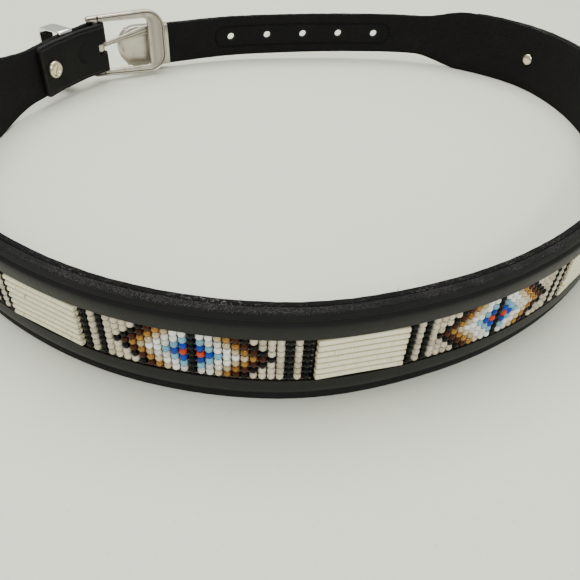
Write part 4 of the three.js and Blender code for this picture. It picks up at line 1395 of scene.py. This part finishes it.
def frame_section(width, scale):
    """Distance from the outer edge, and height over the frame's middle plane, and share of painted
    shade.
    """
    deep = 0.6 * float(ease((width - 5.2) / 4))
    e = min(1.0, width / FRAME_HEEL_ARM)
    floor = -1.42 + deep
    # the third values paint shade into the groove near the back's outer edge and into the bow's
    # trough
    back = [(0.0, -0.35, 0), (0.12 * e, -1.0, 0), (0.4 * e, -1.5, 0), (0.85 * e, -1.7, 0),
            (1.25 * e, -1.52, 0), (1.5 * e, -1.1, 1.0), (1.7 * e, -1.15, 1.0)]
    inner = width - 1.5 * e
    first = min(2.1 * e, inner)
    back += [(first, mix(-1.4, floor, 0.5), 0.2 + deep * 0.4),
             (mix(first, inner, 0.2), floor, deep * 0.75),
             (mix(first, inner, 0.5), floor - deep * 0.1, deep * 0.45),
             (mix(first, inner, 0.8), floor, deep * 0.75),
             (inner, mix(-1.45, floor, 0.35), deep * 0.3),
             (width - 0.9 * e, -1.5, 0), (width - 0.4 * e, -1.35, 0), (width - 0.08 * e, -0.9, 0)]
    front = [(width, 0.3, 0), (width - 0.25 * e, 0.95, 0)]
    for share in (0.15, 0.35, 0.55, 0.75, 0.9):
        lift = 1.15 + 0.55 * math.sin(math.pi * (0.12 + 0.76 * (1 - share)))
        front.append((width * (1 - share), lift, 0))
    front.append((0.05 * e, 0.75, 0))
    return [(d, y * scale, h) for d, y, h in back + front]


def frame_shape():
    rings, hollow = [], []
    stations = frame_stations()
    for index, (inner, outer) in enumerate(stations):
        near = min(index, len(stations) - 1 - index)
        scale = (0.45, 0.72, 0.88, 0.95, 1.0)[near] if near < 5 else 1.0
        if near in (10, 11):
            scale = 0.5
        inner, outer = np.array(inner), np.array(outer)
        width = float(np.linalg.norm(inner - outer))
        direction = (inner - outer) / width
        ring = []
        for distance, y, dark in frame_section(width, scale):
            x, z = outer + direction * distance
            ring.append((x, y, z))
            # painted shade, deepest in the thin slot on each arm near the heel
            hollow.append(min(1.0, dark + (0.6 if near in (10, 11) else 0.0)))
        rings.append(np.array(ring))
    return skin(rings), hollow


class BELT_OT_frame(bpy.types.Operator):
    """Makes the cast buckle frame with its rimmed back and the heel bar"""
    bl_idname = "belt.make_frame"
    bl_label = "Buckle frame"

    def execute(self, context):
        (points, faces), hollow = frame_shape()
        points, faces = outwards(points, faces)
        reach = FRAME_INNER + 1.4
        profile = [(0, -reach), (BAR_RADIUS - 0.3, -reach), (BAR_RADIUS, -reach + 0.3)]
        profile += [(BAR_RADIUS, z) for z in np.linspace(-reach + 1, reach - 1, 8)]
        profile += [(BAR_RADIUS, reach - 0.3), (BAR_RADIUS - 0.3, reach), (0, reach)]
        bar = outwards(*turned(profile, 32))
        # the heel bar, inside the strap's fold, gets a little painted shade all over
        marks = {"hollow": np.r_[hollow, np.full(len(bar[0]), 0.15)]}
        points, faces = joined([(points, faces), bar])
        piece = make_piece("frame", *outwards(on_buckle(points), faces),
                           get_finish("cast_nickel"), marks, 46)
        fitted(piece, "buckle", "cast_metal", "buckle_frame")
        return {"FINISHED"}


def tongue_shape():
    rise = math.tan(math.radians(TONGUE_LEAN))
    table = np.array([
        (0.065, 0.00, 0.80, 0.66), (0.14, 0.10, 0.86, 0.62), (0.25, 0.26, 0.90, 0.62),
        (0.38, 0.46, 0.92, 0.68), (0.50, 0.62, 0.96, 0.82), (0.62, 0.80, 1.00, 1.00),
        (0.70, 0.93, 1.00, 1.07), (0.78, 1.00, 1.00, 1.10), (0.86, 1.00, 1.00, 1.06),
        (0.93, 1.00, 0.98, 0.98), (0.97, 1.00, 0.86, 0.86), (0.99, 1.00, 0.66, 0.70),
        (1.00, 1.00, 0.40, 0.48),
    ])
    rings, hollow = [], []
    for share, moved, thick, high in table:
        x = share * TONGUE_REACH
        ring = []
        for k in range(28):
            angle = 2 * math.pi * k / 28
            c, s = math.cos(angle), math.sin(angle)
            y = math.copysign(abs(c) ** 0.62, c)
            z = math.copysign(abs(s) ** 0.72, s)
            groove = 0.0
            if y < 0 and 0.05 < share < 0.97:
                groove = math.exp(-((abs(z) - 0.36) / 0.13) ** 2)
            y = y + 0.34 * groove
            ring.append((x, mix(TONGUE_ROOT, TONGUE_SEAT + 1.0, moved) + y * thick,
                         x * rise + z * high * TONGUE_WIDTH / 2))
            # painted shade in the tongue's two grooves
            hollow.append(0.85 * groove)
        rings.append(np.array(ring))
    prong = outwards(*skin(rings))
    profile = [(RING_BORE, -2.2), (RING_BORE, 2.2), (RING_BORE + 0.2, 2.45),
               (RING_RADIUS - 0.35, 2.5), (RING_RADIUS - 0.08, 2.25), (RING_RADIUS, 1.7),
               (RING_RADIUS, -1.7), (RING_RADIUS - 0.08, -2.25), (RING_RADIUS - 0.35, -2.5),
               (RING_BORE + 0.2, -2.45)]
    rings = [[(r * math.cos(a), r * math.sin(a), z) for r, z in profile]
             for a in np.arange(36) * math.pi / 18]
    ring = outwards(*skin(rings, closed=True))
    hollow += [0.0] * len(ring[0])
    return joined([prong, ring]), hollow


class BELT_OT_tongue(bpy.types.Operator):
    """Makes the grooved tongue with its loop round the heel bar"""
    bl_idname = "belt.make_tongue"
    bl_label = "Tongue"

    def execute(self, context):
        (points, faces), hollow = tongue_shape()
        piece = make_piece("tongue_prong", *outwards(on_buckle(points), faces),
                           get_finish("cast_nickel"), {"hollow": hollow}, 50)
        fitted(piece, "tongue", "cast_metal", "buckle_tongue")
        return {"FINISHED"}


def tip_shape():
    """A cup with a round nose, open where the strap goes in."""
    radius = BILLET_HEIGHT / 2
    start = TIP_LENGTH - radius
    rings = []
    turns = [88, 84, 78, 70, 62, 54, 46, 38, 30, 22, 14, 7, 0]
    for turn in turns:
        a = math.radians(turn)
        half = max(radius * math.cos(a), 0.35)
        thick = mix(TIP_HALF, TIP_NOSE_HALF, math.sin(a) ** 6)
        corner = min(TIP_CORNER, half * 0.8)
        rings.append((start + radius * math.sin(a), thick, half, corner))
    rings += [(x, TIP_HALF, radius, TIP_CORNER) for x in (16.0, 11.0, 6.0, 2.0, 0.5)]
    rings += [(0.1, TIP_HALF - 0.12, radius - 0.12, 0.75), (0.0, TIP_HALF - 0.3, radius - 0.3, 0.6),
              (0.0, POCKET_HALF + 0.15, POCKET_HIGH + 0.15, 0.35)]
    rings += [(x, POCKET_HALF, POCKET_HIGH, 0.3) for x in (0.2, 14.0, 28.0)]
    return outwards(*skin([
        np.array([(x, TIP_MIDDLE + o, z) for o, z in rounded_section(thick, -half, half, corner)])
        for x, thick, half, corner in rings]))


class BELT_OT_tip(bpy.types.Operator):
    """Makes the cast tip on the belt's free end"""
    bl_idname = "belt.make_tip"
    bl_label = "Tip"

    def execute(self, context):
        points, faces = tip_shape()
        # painted shade: darker towards the tip's upper and lower rims
        edge = np.clip((np.abs(points[:, 2]) - 11.6) / 1.1, 0, 1) * 0.15
        points = on_belt(points, TIP_START, float(middle_height(BELT_LENGTH)))
        piece = make_piece("tip", *outwards(points, faces), get_finish("cast_nickel"),
                           {"hollow": edge}, 42)
        fitted(piece, "belt", "cast_metal", "billet_tip")
        return {"FINISHED"}


def keeper_path():
    """Inner line of the keeper's loop as out, height, outward normal and wall."""
    outer, inner = KEEPER_OUTER - KEEPER_CORNER, KEEPER_INNER + KEEPER_LEG_CORNER
    high, leg_high = KEEPER_HALF - KEEPER_CORNER, KEEPER_HALF - KEEPER_LEG_CORNER
    corners = [(outer, -high, KEEPER_CORNER, -90), (outer, high, KEEPER_CORNER, 0),
               (inner, leg_high, KEEPER_LEG_CORNER, 90),
               (inner, -leg_high, KEEPER_LEG_CORNER, 180)]
    path = []
    for out, z, radius, start in corners:
        for turn in range(0, 91, 15):
            a = math.radians(start + turn)
            wall = KEEPER_WALL
            if start == 90:
                wall = mix(KEEPER_WALL, KEEPER_INNER_WALL, turn / 90)
            if start == 180:
                wall = mix(KEEPER_INNER_WALL, KEEPER_WALL, turn / 90)
            path.append((out + radius * math.cos(a), z + radius * math.sin(a),
                         math.cos(a), math.sin(a), wall))
    return path


class BELT_OT_keeper(bpy.types.Operator):
    """Makes the polished keeper, domed on its outer side"""
    bl_idname = "belt.make_keeper"
    bl_label = "Keeper"

    def execute(self, context):
        half = KEEPER_WIDTH / 2
        section = [(-half, 0.22), (-half + 0.2, 0.0), (0.0, 0.0), (half - 0.2, 0.0),
                   (half, 0.22), (half, 0.52), (half - 0.12, 0.70), (half - 0.5, 0.84),
                   (half * 0.5, 0.97), (0.0, 1.0), (-half * 0.5, 0.97), (-half + 0.5, 0.84),
                   (-half + 0.12, 0.70), (-half, 0.52)]
        rings = []
        path = keeper_path()
        dense = []
        for a, b in zip(path, path[1:] + path[:1]):
            far = math.hypot(a[0] - b[0], a[1] - b[1])
            count = max(1, int(far / 3))
            dense += [tuple(mix(p, q, k / count) for p, q in zip(a, b)) for k in range(count)]
        for out, z, side, up, wall in dense:
            length = math.hypot(side, up)
            rings.append(np.array([(x, out + side / length * wall * lift,
                                    z + up / length * wall * lift) for x, lift in section]))
        points, faces = skin(rings, closed=True)
        points = on_belt(points, KEEPER_RUN, float(middle_height(KEEPER_RUN)))
        piece = make_piece("keeper_loop", *outwards(points, faces),
                           get_finish("polished_nickel"),
                           {"hollow": np.zeros(len(points))}, 44)
        fitted(piece, "belt", "bright_metal", "keeper")
        return {"FINISHED"}


def head_profile(diameter, height, base, style):
    """Radius and height of a head, from its top's middle to its seat."""
    r = diameter / 2
    if style == "ringed":
        shares = [(0.0, 0.78), (0.44, 0.74), (0.52, 0.56), (0.60, 0.38), (0.66, 0.50),
                  (0.72, 0.90), (0.80, 1.0), (0.89, 0.90), (0.97, 0.60), (1.0, 0.34), (0.98, 0.0)]
    else:
        shares = [(0.0, 1.0), (0.22, 0.98), (0.45, 0.90), (0.66, 0.76), (0.83, 0.56),
                  (0.95, 0.32), (1.0, 0.14), (0.98, 0.0)]
    return [(share * r, base + lift * height) for share, lift in shares]


def fastening_shape(inner, outer, diameter, height, post, style):
    top = head_profile(diameter, height, outer, "domed")
    bottom = [(r, inner - (z - inner)) for r, z in head_profile(diameter, height, inner, style)]
    profile = bottom + [(post, inner), (post, outer)] + top[::-1]
    points, faces = outwards(*turned(profile, 40))
    return points[:, [0, 2, 1]], faces


class BELT_OT_fastenings(bpy.types.Operator):
    """Makes the screw through the flap and the rivet behind the beadwork"""
    bl_idname = "belt.make_fastenings"
    bl_label = "Screw and rivet"

    def execute(self, context):
        height = float(middle_height(SCREW_RUN))
        points, faces = fastening_shape(-SCREW_SEAT, SCREW_SEAT, SCREW_DIAMETER, SCREW_HEAD,
                                        SCREW_POST, "ringed")
        away = np.hypot(points[:, 0], points[:, 2]) / (SCREW_DIAMETER / 2)
        # painted shade in the ring groove of the screw's ringed head
        groove_shade = (points[:, 1] < -3.3) * (0.85 * np.exp(-((away - 0.60) / 0.07) ** 2))
        piece = make_piece("screw", *outwards(on_belt(points, SCREW_RUN, height), faces),
                           get_finish("pale_brass"), {"hollow": groove_shade}, 50)
        a = math.radians(SLOT_TURN)
        corners = [(x * SLOT_HALF_WIDTH, z * SLOT_HALF_LENGTH)
                   for x, z in ((-1, -1), (1, -1), (1, 1), (-1, 1))]
        rings = [np.array([(x * math.cos(a) - z * math.sin(a), y, x * math.sin(a) + z * math.cos(a))
                           for x, z in corners]) for y in (-6.0, -3.6)]
        slot, slot_faces = skin(rings)
        cut(piece, on_belt(slot, SCREW_RUN, height), slot_faces)
        fitted(piece, "belt", "pale_brass", "flap_screw")
        points, faces = fastening_shape(RIVET_INNER, FACE_TOP + 0.3, RIVET_DIAMETER, RIVET_HEAD,
                                        RIVET_POST, "domed")
        piece = make_piece("rivet", *outwards(on_belt(points, RIVET_RUN, BODY_MIDDLE), faces),
                           get_finish("pale_brass"), {"hollow": np.zeros(len(points))}, 50)
        fitted(piece, "belt", "pale_brass", "end_rivet")
        return {"FINISHED"}


# Stage

class StageSettings(bpy.types.PropertyGroup):
    key_power: FloatProperty(name="Key light", description="Power of the large upper light",
                             default=30.0, min=0.0, unit="POWER")
    fill_power: FloatProperty(name="Fill light", description="Power of the light on the front",
                              default=4.0, min=0.0, unit="POWER")
    glint_power: FloatProperty(name="Glint light", description="Power of the small light",
                               default=5.0, min=0.0, unit="POWER")
    sky:FloatProperty(name="Sky", description="Strength of the soft light from above",
                       default=0.62, min=0.0, max=5.0)


def add_light(name, place, target, size, power, colour):
    light = bpy.data.lights.new(name, "AREA")
    light.shape = "RECTANGLE"
    light.size, light.size_y = size
    light.energy = power
    light.color = colour
    lamp = bpy.data.objects.new(name, light)
    bpy.context.scene.collection.objects.link(lamp)
    lamp.location = place
    lamp.rotation_euler = (Vector(target) - Vector(place)).to_track_quat("-Z", "Y").to_euler()


class BELT_OT_stage(bpy.types.Operator):
    """Makes the floor, the lights, the sky and the camera"""
    bl_idname = "belt.make_stage"
    bl_label = "Stage"

    def execute(self, context):
        settings = context.scene.belt_stage
        reach = 3000.0
        axis = np.linspace(-reach, reach, 9)
        points = np.array([(x, y, 0.0) for y in axis for x in axis])
        faces = [(j * 9 + i, j * 9 + i + 1, j * 9 + i + 10, j * 9 + i + 9)
                 for j in range(8) for i in range(8)]
        floor = make_piece("floor", points, faces, get_finish("studio_floor"))
        add_light("key", (-0.15, 0.35, 1.25), (0, 0.05, 0), (1.5, 1.1),
                  settings.key_power, (1.0, 0.985, 0.955))
        add_light("fill", (0.3, -1.1, 0.75), (0, 0, 0.02), (1.2, 0.6),
                  settings.fill_power, (0.96, 0.98, 1.0))
        add_light("glint", (0.16, -0.95, 0.80), (0, -0.1, 0.02), (0.16, 0.16),
                  settings.glint_power, (1.0, 1.0, 0.98))
        world = bpy.data.worlds.new("sky")
        world.use_nodes = True
        world.node_tree.nodes.clear()
        g = Graph(world.node_tree)
        _, depth, up = g.parts(g.add("ShaderNodeTexCoord", None, None, "Generated"))
        bright = g.step(up + depth * 0.35, -0.2, 0.75)
        light = g.colour(bright, (0.26, 0.28, 0.27, 1.0), (1.12, 1.16, 1.11, 1.0))
        sky = g.add("ShaderNodeBackground", None, {"Color": light, "Strength": settings.sky})
        g.add("ShaderNodeOutputWorld", None, {"Surface": sky})
        context.scene.world = world
        camera = bpy.data.cameras.new("camera")
        camera.sensor_width = 36.0
        camera.lens = 36.0
        camera.clip_start = 0.01
        camera.clip_end = 30.0
        eye = bpy.data.objects.new("camera", camera)
        context.scene.collection.objects.link(eye)
        turn = (Matrix.Rotation(math.radians(48.9), 4, "X")
                @ Matrix.Rotation(math.radians(3.9), 4, "Z"))
        eye.matrix_world = Matrix.Translation((-0.004228, -0.277516, 0.150)) @ turn
        context.scene.camera = eye
        return {"FINISHED"}


OPERATORS = (BELT_OT_stage, BELT_OT_strap, BELT_OT_face, BELT_OT_beads, BELT_OT_threads,
             BELT_OT_quills, BELT_OT_fibres, BELT_OT_frame, BELT_OT_tongue, BELT_OT_tip,
             BELT_OT_keeper, BELT_OT_fastenings)


class BELT_PT_pieces(bpy.types.Panel):
    bl_idname = "BELT_PT_pieces"
    bl_label = "Beaded belt"
    bl_space_type = "VIEW_3D"
    bl_region_type = "UI"
    bl_category = "Belt"

    def draw(self, context):
        for operator in OPERATORS:
            self.layout.operator(operator.bl_idname, text=operator.bl_label)
        for settings in (context.scene.belt_sizes, context.scene.belt_colours,
                         context.scene.belt_stage):
            for name in settings.__annotations__:
                self.layout.prop(settings, name)


CLASSES = (BeltColours, BeltSizes, StageSettings, *OPERATORS, BELT_PT_pieces)


def register():
    for item in CLASSES:
        bpy.utils.register_class(item)
    bpy.types.Scene.belt_colours = PointerProperty(type=BeltColours)
    bpy.types.Scene.belt_sizes = PointerProperty(type=BeltSizes)
    bpy.types.Scene.belt_stage = PointerProperty(type=StageSettings)


def unregister():
    del bpy.types.Scene.belt_stage
    del bpy.types.Scene.belt_sizes
    del bpy.types.Scene.belt_colours
    for item in reversed(CLASSES):
        bpy.utils.unregister_class(item)


def main():
    register()
    bpy.ops.belt.make_stage()
    bpy.ops.belt.make_strap()
    bpy.ops.belt.make_face()
    bpy.ops.belt.make_beads()
    bpy.ops.belt.make_threads()
    bpy.ops.belt.make_quills()
    bpy.ops.belt.make_fibres()
    bpy.ops.belt.make_frame()
    bpy.ops.belt.make_tongue()
    bpy.ops.belt.make_tip()
    bpy.ops.belt.make_keeper()
    bpy.ops.belt.make_fastenings()


if __name__ == "__main__":
    main()
